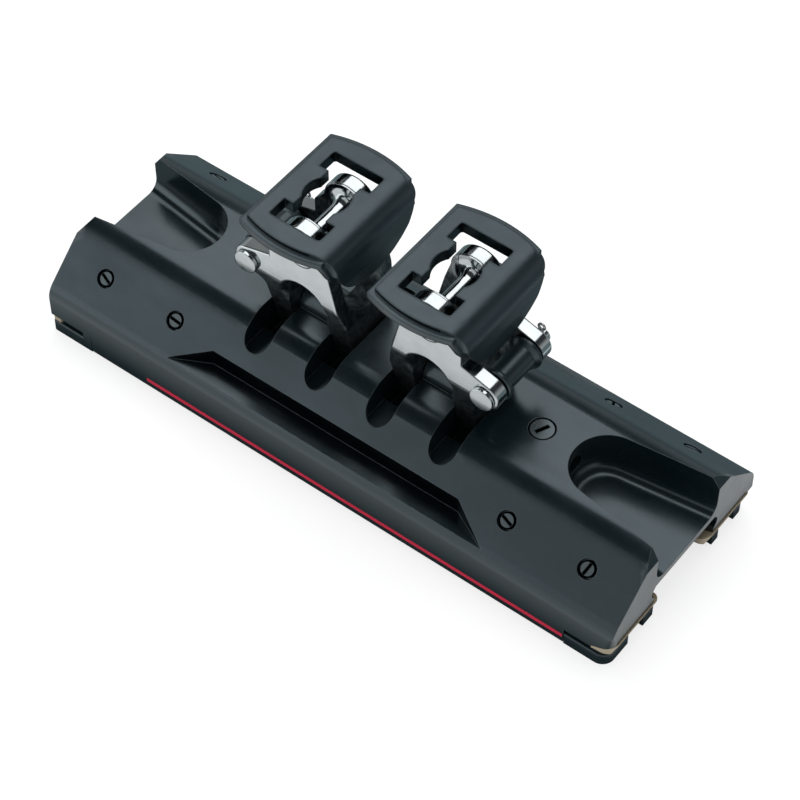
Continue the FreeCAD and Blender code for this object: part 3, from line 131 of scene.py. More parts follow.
# Where the steel has its rough pitted skin and its painted shade: the cheeks' insides and ends, and the
# legs below CAST_TOP
CHEEK_INSIDE = (SPOOL_END + 0.4 * MM, SPOOL_END + 0.8 * MM)
CHEEK_ENDS = (0.027, 0.028)
CHEEK_TOP = (0.114, 0.118)
CAST_TOP = (0.086, 0.0905)
END_FACING = (0.6, 0.9)
SEAM_DARK = 0.8
CAST_ROUGHNESS = 0.3
PLATE = corners_of("hood_right")[1].z
PLATE_TOP = (PLATE - 0.5 * MM, PLATE - 0.3 * MM)
PLATE_UNDER = (PLATE - 2.2 * MM, PLATE - 2.0 * MM)
WINDOW_ALONG = (-0.0215, 0.0165)
WINDOW_ASIDE = 0.031
# Strength of the painted shade in the hood's window and under its plate
WINDOW_SHADE = 0.8

# What shiny surfaces see: where each light changes as they turn, and its strength before and after
FRONT_EDGE, FRONT_GLOW = (-0.03, 0.03), (0.03, 1.0)
LEFT_EDGE, LEFT_GLOW = (0.2, 0.56), (0.6, 1.5)
LOW_EDGE, LOW_GLOW = (0.2, 0.6), (0.4, 0.04)

# The floor that they see, measured out from the car's near side and from its right end
FRONT_FLOOR = (-25 * MM, -3 * MM)
RIGHT_FLOOR = ((0, 8 * MM), (20 * MM, 50 * MM))
AWAY_TONE = (0.02, 0.1, 0.12)
AWAY_DARK = 0.6

LAMP_PLACE = (-0.27, 0.38, 1.0)
LAMP_TARGET = (-0.27, 0.38, 0)
LAMP_SIZE = (1.3, 0.9)
CAMERA_CLIP = (0.05, 50)


def nodes_with(slot):
    """The frame's objects that take their finish from one slot of the record."""
    names = [row["node"] for row in frame["record"]["subparts"] if row["material_slot"] == slot]
    return [frame["nodes"][name] for name in names]


def dress(objects, material):
    """Gives every object the one material."""
    for item in objects:
        item.data.materials.clear()
        item.data.materials.append(material)


def scaled(colour_value, amount):
    """A colour made lighter or darker, and never past white."""
    return tuple(min(1.0, amount * part) for part in colour_value)


# Values that a user would change


def colour(name, description, value):
    return bpy.props.FloatVectorProperty(
        name=name, description=description, default=value, size=3, min=0, max=1, subtype="COLOR"
    )


def length(name, description, value):
    return bpy.props.FloatProperty(
        name=name, description=description, default=value, min=0, unit="LENGTH", precision=5
    )


def share(name, description, value):
    return bpy.props.FloatProperty(
        name=name, description=description, default=value, min=0, max=1, subtype="FACTOR"
    )


def angle(name, description, degrees):
    return bpy.props.FloatProperty(
        name=name, description=description, default=math.radians(degrees), subtype="ANGLE"
    )


class BodyFinish(bpy.types.PropertyGroup):
    dye: colour("Dye", "Colour of the black anodised aluminium", (0.0014, 0.0064, 0.0088))
    bare: colour("Edge", "Colour where an edge has rubbed lighter", (0.13, 0.145, 0.15))
    gloss: share("Roughness", "Roughness of the satin skin", 0.225)
    blast: length("Blasting", "Width of one grain of the blasted skin", 0.45 * MM)
    edge: length("Edge break", "Radius that catches the light along an edge", 0.45 * MM)
    stripe: colour("Stripe", "Colour of the thin side stripe", (0.9, 0.03, 0.085))


class HoodFinish(bpy.types.PropertyGroup):
    plastic: colour("Plastic", "Colour of the moulded hoods", (0.0045, 0.0105, 0.0138))
    gloss: share("Roughness", "Roughness of the moulded skin", 0.34)
    grain: length("Grain", "Width of one grain of the mould's texture", 0.6 * MM)
    edge: length("Edge radius", "Moulded radius along an edge", 1.8 * MM)


class SteelFinish(bpy.types.PropertyGroup):
    steel: colour("Steel", "Colour of the polished steel", (0.58, 0.62, 0.63))
    gloss: share("Roughness", "Roughness of the mirror polish", 0.1)
    # Dark colour of the rough skin on the legs and the cheeks' insides and ends, which is painted
    # shade; it also darkens the seams round the blocks
    cast: colour("Cast skin", "Colour of the unpolished skin low on the legs", (0.02, 0.036, 0.043))
    wave: length("Waves", "Width of the waves that hand polishing leaves", 6 * MM)
    edge: length("Edge radius", "Radius that the polishing leaves on an edge", 0.6 * MM)
    screws: colour("Screws", "Colour of the bright screws and split pins", (0.55, 0.56, 0.57))


class BearingFinish(bpy.types.PropertyGroup):
    balls: colour("Balls", "Colour of the plastic balls", (0.2, 0.115, 0.045))
    plates: colour("Plates", "Colour of the cream plates", (0.52, 0.43, 0.3))
    caps: colour("Caps", "Colour of the black end caps and rollers", (0.003, 0.0075, 0.0098))
    facets: bpy.props.IntProperty(
        name="Ball facets", description="Steps round one ball", default=20, min=8, max=48
    )


class StudioSettings(bpy.types.PropertyGroup):
    floor: colour("Floor", "Colour of the floor", (0.35, 0.35, 0.35))
    lift: share("Floor lift", "Light added to the floor to make it white to the camera", 0.72)
    mirrored_lift: share("Mirrored lift", "Light added to the floor that shiny surfaces show", 0.55)
    floor_size: length("Floor size", "Side of the square floor", 9.0)
    sky: share("Sky", "Strength of the even sky that lights matt surfaces", 0.75)
    front_top: angle("Front edge", "Angle from straight up at which the bright front begins", 48.5)
    lamp: bpy.props.FloatProperty(
        name="Lamp", description="Power of the soft lamp overhead", default=6.3, min=0, unit="POWER"
    )
    turn: angle("Camera turn", "Turn of the camera round the car", 37.4)
    rise: angle("Camera rise", "Height of the camera as an angle", 51.33)
    roll: angle("Camera roll", "Roll of the camera", -0.142)
    reach: length("Camera distance", "From the camera to the point it aims at", 1.3974)
    aim: bpy.props.FloatVectorProperty(
        name="Aim",
        description="Point that the camera looks at",
        default=(-0.00566, 0.01422, -0.00624),
        size=3,
        unit="LENGTH",
    )
    focal: bpy.props.FloatProperty(
        name="Focal length",
        description="Focal length in pixels of the picture",
        default=2687.0,
        min=100,
        subtype="PIXEL",
    )


GROUPS = {
    "traveller_body": BodyFinish,
    "traveller_hoods": HoodFinish,
    "traveller_steel": SteelFinish,
    "traveller_bearing": BearingFinish,
    "traveller_studio": StudioSettings,
}


# Materials


class Wiring:
    """A node tree, with short names for the sums that the materials and the world share."""

    def __init__(self, tree):
        self.tree = tree
        self.tree.nodes.clear()

    def new(self, kind):
        return self.tree.nodes.new(kind)

    def put(self, value, socket):
        """Joins another node's output to a socket, or sets a plain value on it."""
        if isinstance(value, bpy.types.NodeSocket):
            self.tree.links.new(value, socket)
        else:
            socket.default_value = value

    def maths(self, operation, *values):
        node = self.new("ShaderNodeMath")
        node.operation = operation
        for value, socket in zip(values, node.inputs):
            self.put(value, socket)
        return node.outputs["Value"]

    def times(self, first, *others):
        for other in others:
            first = self.maths("MULTIPLY", first, other)
        return first

    def plus(self, first, *others):
        for other in others:
            first = self.maths("ADD", first, other)
        return first

    def minus(self, first, second):
        return self.maths("SUBTRACT", first, second)

    def larger(self, first, *others):
        for other in others:
            first = self.maths("MAXIMUM", first, other)
        return first

    def size(self, value):
        """A value without its sign."""
        return self.maths("ABSOLUTE", value)

    def diagonal(self, first, second):
        """The distance that two lengths at right angles make."""
        return self.maths("SQRT", self.plus(self.times(first, first), self.times(second, second)))

    def dot(self, first, second):
        node = self.new("ShaderNodeVectorMath")
        node.operation = "DOT_PRODUCT"
        self.put(first, node.inputs[0])
        self.put(second, node.inputs[1])
        return node.outputs["Value"]

    def part(self, vector, axis):
        """One of a vector's three parts."""
        node = self.new("ShaderNodeSeparateXYZ")
        self.put(vector, node.inputs["Vector"])
        return node.outputs[axis]

    def spread(self, value, low, high, start=0.3, end=0.7, smooth=False):
        """Maps a value from start to end, where most of a noise lies, to the range from low to high."""
        ramp = self.new("ShaderNodeMapRange")
        if smooth:
            ramp.interpolation_type = "SMOOTHSTEP"
        numbers = {"From Min": start, "From Max": end, "To Min": low, "To Max": high}
        for name, number in numbers.items():
            self.put(number, ramp.inputs[name])
        self.put(value, ramp.inputs["Value"])
        return ramp.outputs["Result"]

    def rises(self, value, start, end):
        """0 up to start and 1 from end on."""
        return self.spread(value, 0.0, 1.0, start, end)

    def falls(self, value, start, end):
        """1 up to start and 0 from end on."""
        return self.spread(value, 1.0, 0.0, start, end)


class Finish(Wiring):
    """A material with one Principled shader, and the few patterns that the finishes here share."""

    def __init__(self, name, base, rough, metal=0.0, specular=0.5, sheen=WHITE):
        self.material = bpy.data.materials.new(name)
        self.material.use_nodes = True
        super().__init__(self.material.node_tree)
        output = self.new("ShaderNodeOutputMaterial")
        self.shader = self.new("ShaderNodeBsdfPrincipled")
        self.put(self.shader.outputs["BSDF"], output.inputs["Surface"])
        self.base = (*base, 1.0)
        self.rough = rough
        self.put(self.base, self.shader.inputs["Base Color"])
        self.put(rough, self.shader.inputs["Roughness"])
        self.put(metal, self.shader.inputs["Metallic"])
        self.put(specular, self.shader.inputs["Specular IOR Level"])
        self.put((*sheen, 1.0), self.shader.inputs["Specular Tint"])
        self.place = self.new("ShaderNodeTexCoord").outputs["Object"]
        self.normal = None

    def along(self, axis):
        """The place on the object along one axis, in metres."""
        return self.part(self.place, axis)

    def facing(self, axis):
        """How far a face looks along one axis, from -1 to 1."""
        return self.part(self.new("ShaderNodeNewGeometry").outputs["Normal"], axis)

    def noise(self, width, stretch=(1, 1, 1), detail=2):
        """Noise from 0 to 1, its blotches width metres across and longer where stretch is small."""
        mapping = self.new("ShaderNodeMapping")
        self.put(stretch, mapping.inputs["Scale"])
        self.put(self.place, mapping.inputs["Vector"])
        noise = self.new("ShaderNodeTexNoise")
        self.put(1 / width, noise.inputs["Scale"])
        self.put(detail, noise.inputs["Detail"])
        self.put(mapping.outputs["Vector"], noise.inputs["Vector"])
        return noise.outputs[0]

    def vary_roughness(self, value, amount):
        """Lets the roughness wander by amount to each side of its plain value."""
        wander = self.spread(value, self.rough - amount, self.rough + amount)
        self.put(wander, self.shader.inputs["Roughness"])

    def tint(self, value, other):
        """Mixes the base colour towards another one by a value from 0 to 1."""
        base = self.shader.inputs["Base Color"]
        mix = self.new("ShaderNodeMix")
        mix.data_type = "RGBA"
        before, after = [socket for socket in mix.inputs if socket.type == "RGBA"]
        self.put(base.links[0].from_socket if base.is_linked else self.base, before)
        self.put((*other, 1.0), after)
        self.put(value, mix.inputs["Factor"])
        self.put(next(socket for socket in mix.outputs if socket.type == "RGBA"), base)

    def paint_shade(self, value):
        """Painted shade: takes all colour and shine away by a value from 0 to 1, as in a narrow shaded
        gap.
        """
        self.tint(value, BLACK)
        self.put(value, self.shader.inputs["Metallic"])

    def round_edges(self, radius, wider=0.0):
        """Shades every edge as if it had a small radius, made larger by wider where that varies."""
        bevel = self.new("ShaderNodeBevel")
        bevel.samples = BEVEL_SAMPLES
        self.put(self.plus(wider, radius) if wider else radius, bevel.inputs["Radius"])
        self.normal = bevel.outputs["Normal"]
        self.put(self.normal, self.shader.inputs["Normal"])

    def edges(self, sharpness=0.06):
        """1 on an edge and 0 away from it, from how far the softened normal leaves the true one."""
        true = self.new("ShaderNodeNewGeometry").outputs["Normal"]
        return self.falls(self.dot(true, self.normal), 1 - sharpness, 1.0)

    def bump(self, value, depth, strength=0.5):
        """Raises the skin by depth metres where value is 1."""
        normal = self.shader.inputs["Normal"]
        bump = self.new("ShaderNodeBump")
        self.put(strength, bump.inputs["Strength"])
        self.put(depth, bump.inputs["Distance"])
        self.put(value, bump.inputs["Height"])
        self.put(normal.links[0].from_socket, bump.inputs["Normal"])
        self.put(bump.outputs["Normal"], normal)


def anodised(settings):
    """Satin black anodised aluminium: blasted, with faint lines along the car, rubbed edges and painted
    shade in the side trough.
    """
    skin = Finish("black_anodised", settings.dye, settings.gloss, specular=BODY_SHINE, sheen=COOL)
    height, upright = skin.along("Z"), skin.facing("Z")
    far_out, aside = skin.size(skin.along("X")), skin.size(skin.along("Y"))

    steep_enough, level_enough = SLOPE_FACING
    slope = skin.times(skin.rises(upright, *steep_enough), skin.falls(upright, *level_enough))
    ridge = skin.times(slope, skin.rises(height, *RIDGE_RISE), skin.rises(far_out, *RIDGE_ENDS))
    skin.round_edges(settings.edge, wider=skin.times(ridge, RIDGE_SOFT))

    handled = skin.noise(18 * MM, stretch=(0.5, 1, 1), detail=3)
    clouds = skin.noise(26 * MM, detail=4)
    specks = skin.noise(1.1 * MM)
    scuffs = skin.noise(4 * MM)
    skin.vary_roughness(handled, amount=0.05)
    skin.tint(skin.spread(clouds, low=0.0, high=0.03), settings.bare)
    skin.tint(skin.spread(specks, low=0.0, high=0.06, start=0.45, end=0.8), settings.bare)
    skin.tint(skin.times(skin.edges(), skin.spread(scuffs, low=0.2, high=0.8)), settings.bare)

    cutter_lines = skin.noise(1.2 * MM, stretch=(0.02, 1, 1), detail=1)
    skin.bump(skin.noise(settings.blast, detail=1), depth=0.012 * MM)
    skin.bump(cutter_lines, depth=0.006 * MM)
    skin.bump(skin.noise(2.5 * MM, detail=3), depth=0.02 * MM)

    # Painted shade: the side trough's upper wall and its floor are darkened towards black
    outside = skin.rises(aside, *TROUGH_SIDE)
    wall = skin.times(
        outside,
        skin.rises(height, *TROUGH_RISE),
        skin.falls(upright, *WALL_FACING),
        skin.falls(far_out, *TROUGH_ENDS),
    )
    floor = skin.times(
        outside,
        skin.falls(height, *TROUGH_FLOOR),
        skin.rises(upright, *FLOOR_FACING),
        skin.falls(aside, *TROUGH_MOUTH),
    )
    shaded_wall, shaded_floor = skin.times(wall, TROUGH_WALL_SHADE), skin.times(floor, TROUGH_FLOOR_SHADE)
    skin.paint_shade(skin.larger(shaded_wall, shaded_floor))
    return skin.material


def moulding(name, base, rough, grain, edge):
    """Moulded plastic: a fine even grain and soft edges."""
    skin = Finish(name, base, rough, specular=MOULDED_SHINE, sheen=COOL)
    skin.round_edges(edge)
    skin.vary_roughness(skin.noise(9 * MM, detail=3), amount=0.04)
    skin.tint(skin.spread(skin.noise(14 * MM), low=0.0, high=0.5), scaled(base, 1.35))
    skin.bump(skin.noise(grain, detail=1), depth=0.01 * MM, strength=0.6)
    return skin


def hooded(settings):
    """The hoods' plastic, with painted shade in the window and under the plate."""
    skin = moulding("hood_plastic", settings.plastic, settings.gloss, settings.grain, settings.edge)
    x, height, aside = skin.along("X"), skin.along("Z"), skin.size(skin.along("Y"))
    along = skin.minus(x, skin.times(skin.maths("SIGN", x), PITCH))
    left, right = WINDOW_ALONG
    past_left = skin.maths("GREATER_THAN", along, left)
    before_right = skin.maths("LESS_THAN", along, right)
    within_sides = skin.maths("LESS_THAN", aside, WINDOW_ASIDE)
    window = skin.times(past_left, before_right, within_sides)
    under = skin.times(skin.rises(height, *PLATE_UNDER), before_right)
    below_top = skin.falls(height, *PLATE_TOP)
    # Painted shade: the window's inner walls and the plate's underside are darkened towards black
    skin.paint_shade(skin.times(below_top, skin.larger(window, under), WINDOW_SHADE))
    return skin.material


def polished(name, settings):
    """Polished steel casting, with a rough pitted skin on the legs and on the cheeks' ends and insides,
    whose dark colour there is painted shade.
    """
    skin = Finish(name, settings.steel, settings.gloss, metal=1.0)
    skin.round_edges(settings.edge)
    clouds = skin.noise(9 * MM, detail=4)
    skin.tint(skin.spread(clouds, low=0.0, high=0.6), scaled(settings.steel, 0.8))

    height, aside = skin.along("Z"), skin.size(skin.along("Y"))
    across = skin.size(skin.minus(skin.size(skin.along("X")), PITCH))
    legs = skin.falls(height, *CAST_TOP)
    inner = skin.falls(aside, *CHEEK_INSIDE)
    facing_end = skin.rises(skin.size(skin.facing("X")), *END_FACING)
    ends = skin.times(facing_end, skin.falls(across, *CHEEK_ENDS))
    cheeks = skin.times(skin.larger(inner, ends), skin.falls(height, *CHEEK_TOP))
    # Painted shade over a rough pitted skin, low on the legs and on the cheeks' insides and ends
    cast = skin.larger(legs, cheeks)
    pits = skin.noise(3 * MM, detail=4)
    skin.tint(skin.times(cast, skin.spread(pits, low=0.75, high=1.0)), settings.cast)

    below_centre = skin.maths("MINIMUM", skin.minus(height, BLOCK_CENTRE), 0)
    from_seam = skin.size(skin.minus(skin.diagonal(across, below_centre), BLOCK_HALF + BLOCK_GAP))
    skin.tint(skin.times(skin.falls(from_seam, *BLOCK_SEAM), SEAM_DARK), settings.cast)

    hairlines = skin.noise(2.5 * MM, stretch=(0.2, 1, 1), detail=3)
    scratched = skin.spread(hairlines, low=-0.03, high=0.04)
    rough = skin.plus(skin.times(cast, CAST_ROUGHNESS), skin.rough, scratched)
    skin.put(rough, skin.shader.inputs["Roughness"])
    skin.bump(skin.noise(settings.wave, detail=1), depth=0.05 * MM, strength=0.35)
    skin.bump(skin.times(cast, pits), depth=0.1 * MM)
    return skin.material


def screw_heads(item, tilt):
    """Each screw's centre, along the car and down its slope, and its radius."""
    lean, rise = math.sin(tilt), math.cos(tilt)
    corners = sorted((vertex.co for vertex in item.data.vertices), key=lambda co: co.x)
    groups = [[corners[0]]]
    for corner in corners[1:]:
        if corner.x - groups[-1][-1].x > SCREW_GAP:
            groups.append([])
        groups[-1].append(corner)
    heads = []
    for group in groups:
        xs = [corner.x for corner in group]
        downs = [(abs(corner.y) if tilt else corner.y) * rise - corner.z * lean for corner in group]
        centre = (min(xs) + max(xs)) / 2, (min(downs) + max(downs)) / 2
        heads.append((centre, (max(xs) - min(xs)) / 2))
    return heads


def slotted(name, settings, item, tilt):
    """A black slotted screw with painted shade round its head, on its rim and in its slot, on a slope
    of one tilt on either side.
    """
    worn = tuple(
        (1 - SCREW_WEAR) * dye + SCREW_WEAR * bare for dye, bare in zip(settings.dye, settings.bare)
    )
    skin = Finish(name, worn, settings.gloss, specular=SCREW_SHINE, sheen=COOL)
    skin.round_edges(0.6 * MM)
    skin.vary_roughness(skin.noise(0.8 * MM), amount=0.06)

    lean, rise = math.sin(tilt), math.cos(tilt)
    x, y, z = (skin.along(axis) for axis in "XYZ")
    side = skin.size(y) if tilt else y
    height = skin.plus(skin.times(skin.size(y), lean), skin.times(z, rise))
    down = skin.minus(skin.times(side, rise), skin.times(z, lean))
    insets = []
    for (along_at, down_at), radius in screw_heads(item, tilt):
        away = skin.diagonal(skin.minus(x, along_at), skin.minus(down, down_at))
        insets.append(skin.minus(radius, away))

    face = max(abs(corner.co.y) * lean + corner.co.z * rise for corner in item.data.vertices)
    # Painted shade: a dark ring round the head for the gap to the counterbore, the slot below the face,
    # and the rim's edge
    gap_shade = skin.falls(skin.larger(*insets), *SCREW_GAP_SHADE)
    slot = skin.falls(height, *(face - depth for depth in SCREW_SLOT_SHADE))
    skin.paint_shade(skin.larger(gap_shade, slot, skin.edges(sharpness=0.03)))
    return skin.material


def turned_metal(name, base, rough):
    """A turned fastener: a fine grain in its roughness and a painted highlight along its edges."""
    skin = Finish(name, base, rough, metal=1.0)
    skin.round_edges(0.2 * MM)
    skin.vary_roughness(skin.noise(0.8 * MM), amount=0.06)
    # Painted highlight: the edges take a lighter metal colour
    skin.tint(skin.edges(), scaled(base, 1.8))
    return skin.material


def inlay(settings):
    """The thin painted stripe, with a slight unevenness in its film."""
    skin = Finish("red_stripe", settings.stripe, rough=0.32)
    skin.vary_roughness(skin.noise(3 * MM), amount=0.05)
    skin.tint(skin.spread(skin.noise(5 * MM), low=0.0, high=0.4), scaled(settings.stripe, 0.85))
    return skin.material


# The row of bearing balls


def ball_row_tree(material):
    """A Geometry Nodes tree that lays equal balls in a row along X."""
    tree = bpy.data.node_groups.new("Ball row", "GeometryNodeTree")
    face = tree.interface
    for name, kind, value in (
        ("Count", "NodeSocketInt", 1),
        ("Start", "NodeSocketVector", (0, 0, 0)),
        ("Pitch", "NodeSocketFloat", 10 * MM),
        ("Radius", "NodeSocketFloat", 5 * MM),
        ("Facets", "NodeSocketInt", 16),
    ):
        face.new_socket(name, in_out="INPUT", socket_type=kind).default_value = value
    face.new_socket("Geometry", in_out="OUTPUT", socket_type="NodeSocketGeometry")

    nodes = tree.nodes
    inputs = nodes.new("NodeGroupInput").outputs
    along = nodes.new("ShaderNodeCombineXYZ")
    row = nodes.new("GeometryNodeMeshLine")
    ball = nodes.new("GeometryNodeMeshUVSphere")
    half = nodes.new("ShaderNodeMath")
    half.operation = "DIVIDE"
    half.inputs[1].default_value = 2
    smooth = nodes.new("GeometryNodeSetShadeSmooth")
    copies = nodes.new("GeometryNodeInstanceOnPoints")
    real = nodes.new("GeometryNodeRealizeInstances")
    finish = nodes.new("GeometryNodeSetMaterial")
    finish.inputs["Material"].default_value = material
    output = nodes.new("NodeGroupOutput")
    for source, target in (
        (inputs["Pitch"], along.inputs["X"]),
        (inputs["Count"], row.inputs["Count"]),
        (inputs["Start"], row.inputs["Start Location"]),
        (along.outputs["Vector"], row.inputs["Offset"]),
        (inputs["Facets"], ball.inputs["Segments"]),
        (inputs["Facets"], half.inputs[0]),
        (half.outputs["Value"], ball.inputs["Rings"]),
        (inputs["Radius"], ball.inputs["Radius"]),
        (ball.outputs["Mesh"], smooth.inputs["Geometry"]),
        (row.outputs["Mesh"], copies.inputs["Points"]),
        (smooth.outputs["Geometry"], copies.inputs["Instance"]),
        (copies.outputs["Instances"], real.inputs["Geometry"]),
        (real.outputs["Geometry"], finish.inputs["Geometry"]),
        (finish.outputs["Geometry"], output.inputs["Geometry"]),
    ):
        tree.links.new(source, target)
    return tree


def made_by(name, tree, values):
    """A plain mesh object from one tree and the values of its named inputs."""
    holder = bpy.data.objects.new(name, bpy.data.meshes.new(name))
    bpy.context.scene.collection.objects.link(holder)
    modifier = holder.modifiers.new(tree.name, "NODES")
    modifier.node_group = tree
    for item in tree.interface.items_tree:
        if item.item_type == "SOCKET" and item.in_out == "INPUT":
            modifier[item.identifier] = values[item.name]
    seen = holder.evaluated_get(bpy.context.evaluated_depsgraph_get())
    mesh = bpy.data.meshes.new_from_object(seen)
    holder.modifiers.remove(modifier)
    holder.data = mesh
    mesh.name = name
    return holder


class TRAVELLER_OT_body(bpy.types.Operator):
    """Gives the milled body its satin black skin and its red side stripes"""

    bl_idname = "traveller.body"
    bl_label = "Body finish"

    def execute(self, context):
        settings = context.scene.traveller_body
        dress(nodes_with("black_anodised"), anodised(settings))
        dress(nodes_with("red_stripe"), inlay(settings))
        return {"FINISHED"}


class TRAVELLER_OT_hoods(bpy.types.Operator):
    """Gives the two hoods their moulded satin plastic"""

    bl_idname = "traveller.hoods"
    bl_label = "Hood finish"

    def execute(self, context):
        dress(nodes_with("hood_plastic"), hooded(context.scene.traveller_hoods))
        return {"FINISHED"}


class TRAVELLER_OT_steel(bpy.types.Operator):
    """Polishes the yokes, spools and pins, and finishes the screws"""

    bl_idname = "traveller.steel"
    bl_label = "Steel and screws"

    def execute(self, context):
        settings = context.scene.traveller_steel
        dress(nodes_with("polished_steel"), polished("polished_steel", settings))
        dress(nodes_with("screw_steel"), turned_metal("screw_steel", settings.screws, rough=0.22))
        body = context.scene.traveller_body
        for name, node, tilt in (
            ("screw_black", "slope_screws", SLOPE),
            ("screw_black_plug", "centre_plugs", 0.0),
        ):
            item = frame["nodes"][node]
            dress([item], slotted(name, body, item, tilt))
        return {"FINISHED"}


class TRAVELLER_OT_plastics(bpy.types.Operator):
    """Finishes the end caps, the cream plates, the rails and the rollers"""

    bl_idname = "traveller.plastics"
    bl_label = "Caps, plates and rollers"

    def execute(self, context):
        settings = context.scene.traveller_bearing
        caps = moulding("black_plastic", settings.caps, 0.34, grain=0.7 * MM, edge=0.5 * MM)
        plates = moulding("cream_plastic", settings.plates, 0.5, grain=0.5 * MM, edge=0.3 * MM)
        dress(nodes_with("black_plastic"), caps.material)
        dress(nodes_with("cream_plastic"), plates.material)
        return {"FINISHED"}


class TRAVELLER_OT_balls(bpy.types.Operator):
    """Lays a smooth row of bearing balls in each race, in place of the frame's"""

    bl_idname = "traveller.balls"
    bl_label = "Bearing balls"

    def execute(self, context):
        settings = context.scene.traveller_bearing
        plastic = moulding("ball_plastic", settings.balls, 0.3, grain=0.8 * MM, edge=0.2 * MM)
        tree = ball_row_tree(plastic.material)
        for side in BALL_ROWS:
            node = "balls_" + side
            low, high = corners_of(node)
            width = high.z - low.z
            count = round((high.x - low.x) / width)
            values = {
                "Count": count,
                "Start": (low.x + width / 2, (low.y + high.y) / 2, (low.z + high.z) / 2),
                "Pitch": (high.x - low.x - width) / (count - 1),
                "Radius": width / 2,
                "Facets": settings.facets,
            }
            row = made_by("ball_row_" + side, tree, values)
            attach(row, CAR)
            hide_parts(node)
        return {"FINISHED"}


# The studio


def room(scene, settings):
    """The camera sees a white room, matt surfaces an even sky, and shiny ones a bright low front."""
    world = bpy.data.worlds.new("Studio room")
    world.use_nodes = True
    scene.world = world
    sky = Wiring(world.node_tree)
    place = sky.new("ShaderNodeTexCoord").outputs["Generated"]
    path = sky.new("ShaderNodeLightPath").outputs

    def towards(direction, edge, glow):
        """Light that changes from one strength to another as the view turns towards a direction."""
        return sky.spread(sky.dot(place, direction), *glow, *edge, smooth=True)

    def background(tone, strength):
        node = sky.new("ShaderNodeBackground")
        sky.put((*tone, 1), node.inputs["Color"])
        sky.put(strength, node.inputs["Strength"])
        return node.outputs["Background"]

    def either(ray, other, chosen):
        """The chosen background for one kind of ray, and the other one for the rest."""
        mix = sky.new("ShaderNodeMixShader")
        for value, socket in zip((path[ray], other, chosen), mix.inputs):
            sky.put(value, socket)
        return mix.outputs["Shader"]

    cut = settings.front_top
    front = towards((0, -math.cos(cut), -math.sin(cut)), FRONT_EDGE, FRONT_GLOW)
    left = towards((-1, 0, 0), LEFT_EDGE, LEFT_GLOW)
    low = towards((0, 0, 1), LOW_EDGE, LOW_GLOW)
    mirrored = background(SKY, sky.larger(sky.times(front, left), low))
    unseen = either("Is Glossy Ray", background(SKY, settings.sky), mirrored)
    lit = either("Is Camera Ray", unseen, background(WHITE, 1.0))
    sky.put(lit, sky.new("ShaderNodeOutputWorld").inputs["Surface"])


def floor_material(settings):
    """A matt floor, white to the camera, that shiny surfaces see bright in front and to the right."""
    floor = Finish("studio_floor", settings.floor, rough=0.9, specular=0.0)
    low, high = corners_of("car_body")
    starts, stops = RIGHT_FLOOR
    front = floor.falls(floor.along("Y"), *(low.y + off for off in FRONT_FLOOR))
    right = floor.times(
        floor.rises(floor.along("X"), *(high.x + off for off in starts)),
        floor.falls(floor.along("X"), *(high.x + off for off in stops)),
    )
    path = floor.new("ShaderNodeLightPath").outputs
    seen = floor.plus(path["Is Camera Ray"], path["Is Transmission Ray"])
    # Painted reflection: to shiny surfaces the floor glows white in front and to the right, and is a
    # dark teal elsewhere
    mirrored = floor.times(path["Is Glossy Ray"], floor.larger(front, right))
    away = floor.minus(path["Is Glossy Ray"], mirrored)
    floor.tint(floor.times(away, AWAY_DARK), AWAY_TONE)
    to_camera = floor.times(seen, settings.lift)
    to_shine = floor.times(mirrored, settings.mirrored_lift)
    floor.put((*WHITE, 1), floor.shader.inputs["Emission Color"])
    floor.put(floor.plus(to_camera, to_shine), floor.shader.inputs["Emission Strength"])
    return floor.material


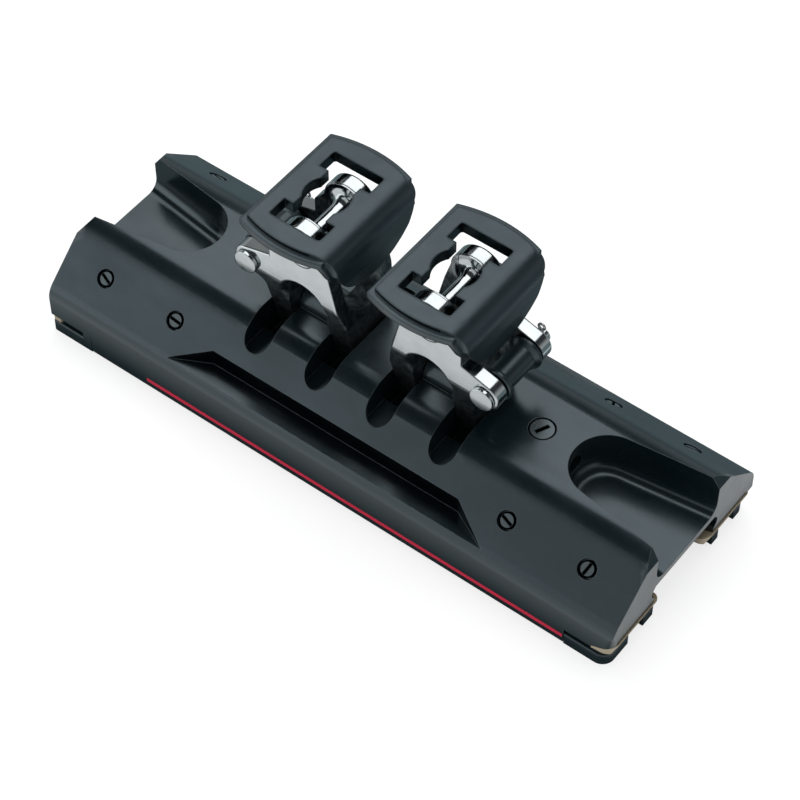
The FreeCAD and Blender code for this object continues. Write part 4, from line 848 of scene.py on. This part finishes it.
class TRAVELLER_OT_studio(bpy.types.Operator):
    """Sets up the pale floor, the soft lamp, the room and the camera"""

    bl_idname = "traveller.studio"
    bl_label = "Studio"

    def execute(self, context):
        settings = context.scene.traveller_studio
        self.floor(context.scene, settings)
        self.lamp(context.scene, settings)
        room(context.scene, settings)
        self.camera(context.scene, settings)
        context.scene.view_settings.view_transform = "Standard"
        return {"FINISHED"}

    def floor(self, scene, settings):
        half = settings.floor_size / 2
        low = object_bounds()[0].z
        mesh = bpy.data.meshes.new("studio_floor")
        corners = [(-half, -half, low), (half, -half, low), (half, half, low), (-half, half, low)]
        mesh.from_pydata(corners, [], [(0, 1, 2, 3)])
        mesh.materials.append(floor_material(settings))
        floor = bpy.data.objects.new("studio_floor", mesh)
        scene.collection.objects.link(floor)
        floor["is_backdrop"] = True

    def lamp(self, scene, settings):
        data = bpy.data.lights.new("lamp_over", "AREA")
        data.shape = "RECTANGLE"
        data.size, data.size_y = LAMP_SIZE
        data.energy = settings.lamp
        lamp = bpy.data.objects.new("lamp_over", data)
        lamp.location = LAMP_PLACE
        aim = Vector(LAMP_TARGET) - Vector(LAMP_PLACE)
        lamp.rotation_euler = aim.to_track_quat("-Z", "Y").to_euler()
        scene.collection.objects.link(lamp)

    def camera(self, scene, settings):
        sin_a, cos_a = math.sin(settings.turn), math.cos(settings.turn)
        sin_e, cos_e = math.sin(settings.rise), math.cos(settings.rise)
        back = Vector((sin_a * cos_e, -cos_a * cos_e, sin_e))
        flat = Vector((cos_a, sin_a, 0))
        over = back.cross(flat)
        right = math.cos(settings.roll) * flat + math.sin(settings.roll) * over
        up = back.cross(right)
        place = Vector(settings.aim) + settings.reach * back
        data = bpy.data.cameras.new("photo_camera")
        data.sensor_width = SENSOR_MM
        data.lens = settings.focal * SENSOR_MM / IMAGE_PIXELS
        data.clip_start, data.clip_end = CAMERA_CLIP
        camera = bpy.data.objects.new("photo_camera", data)
        axes = Matrix((right, up, back)).transposed().to_4x4()
        camera.matrix_world = Matrix.Translation(place) @ axes
        scene.collection.objects.link(camera)
        scene.camera = camera


OPERATORS = (
    TRAVELLER_OT_body,
    TRAVELLER_OT_hoods,
    TRAVELLER_OT_steel,
    TRAVELLER_OT_plastics,
    TRAVELLER_OT_balls,
    TRAVELLER_OT_studio,
)


class TRAVELLER_PT_panel(bpy.types.Panel):
    """Lists the finishes, the balls and the studio with their settings"""

    bl_idname = "TRAVELLER_PT_panel"
    bl_label = "Traveller car"
    bl_space_type = "VIEW_3D"
    bl_region_type = "UI"
    bl_category = "Traveller"

    def draw(self, context):
        for name, group in GROUPS.items():
            box = self.layout.box()
            for key in group.__annotations__:
                box.prop(getattr(context.scene, name), key)
        for operator in OPERATORS:
            self.layout.operator(operator.bl_idname)


CLASSES = (*GROUPS.values(), *OPERATORS, TRAVELLER_PT_panel)


def register():
    for cls in CLASSES:
        bpy.utils.register_class(cls)
    for name, group in GROUPS.items():
        setattr(bpy.types.Scene, name, bpy.props.PointerProperty(type=group))


def unregister():
    for name in GROUPS:
        delattr(bpy.types.Scene, name)
    for cls in reversed(CLASSES):
        bpy.utils.unregister_class(cls)


def main():
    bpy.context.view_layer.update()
    register()
    for operator in OPERATORS:
        area, action = operator.bl_idname.split(".")
        getattr(getattr(bpy.ops, area), action)()


if __name__ == "__main__":
    main()
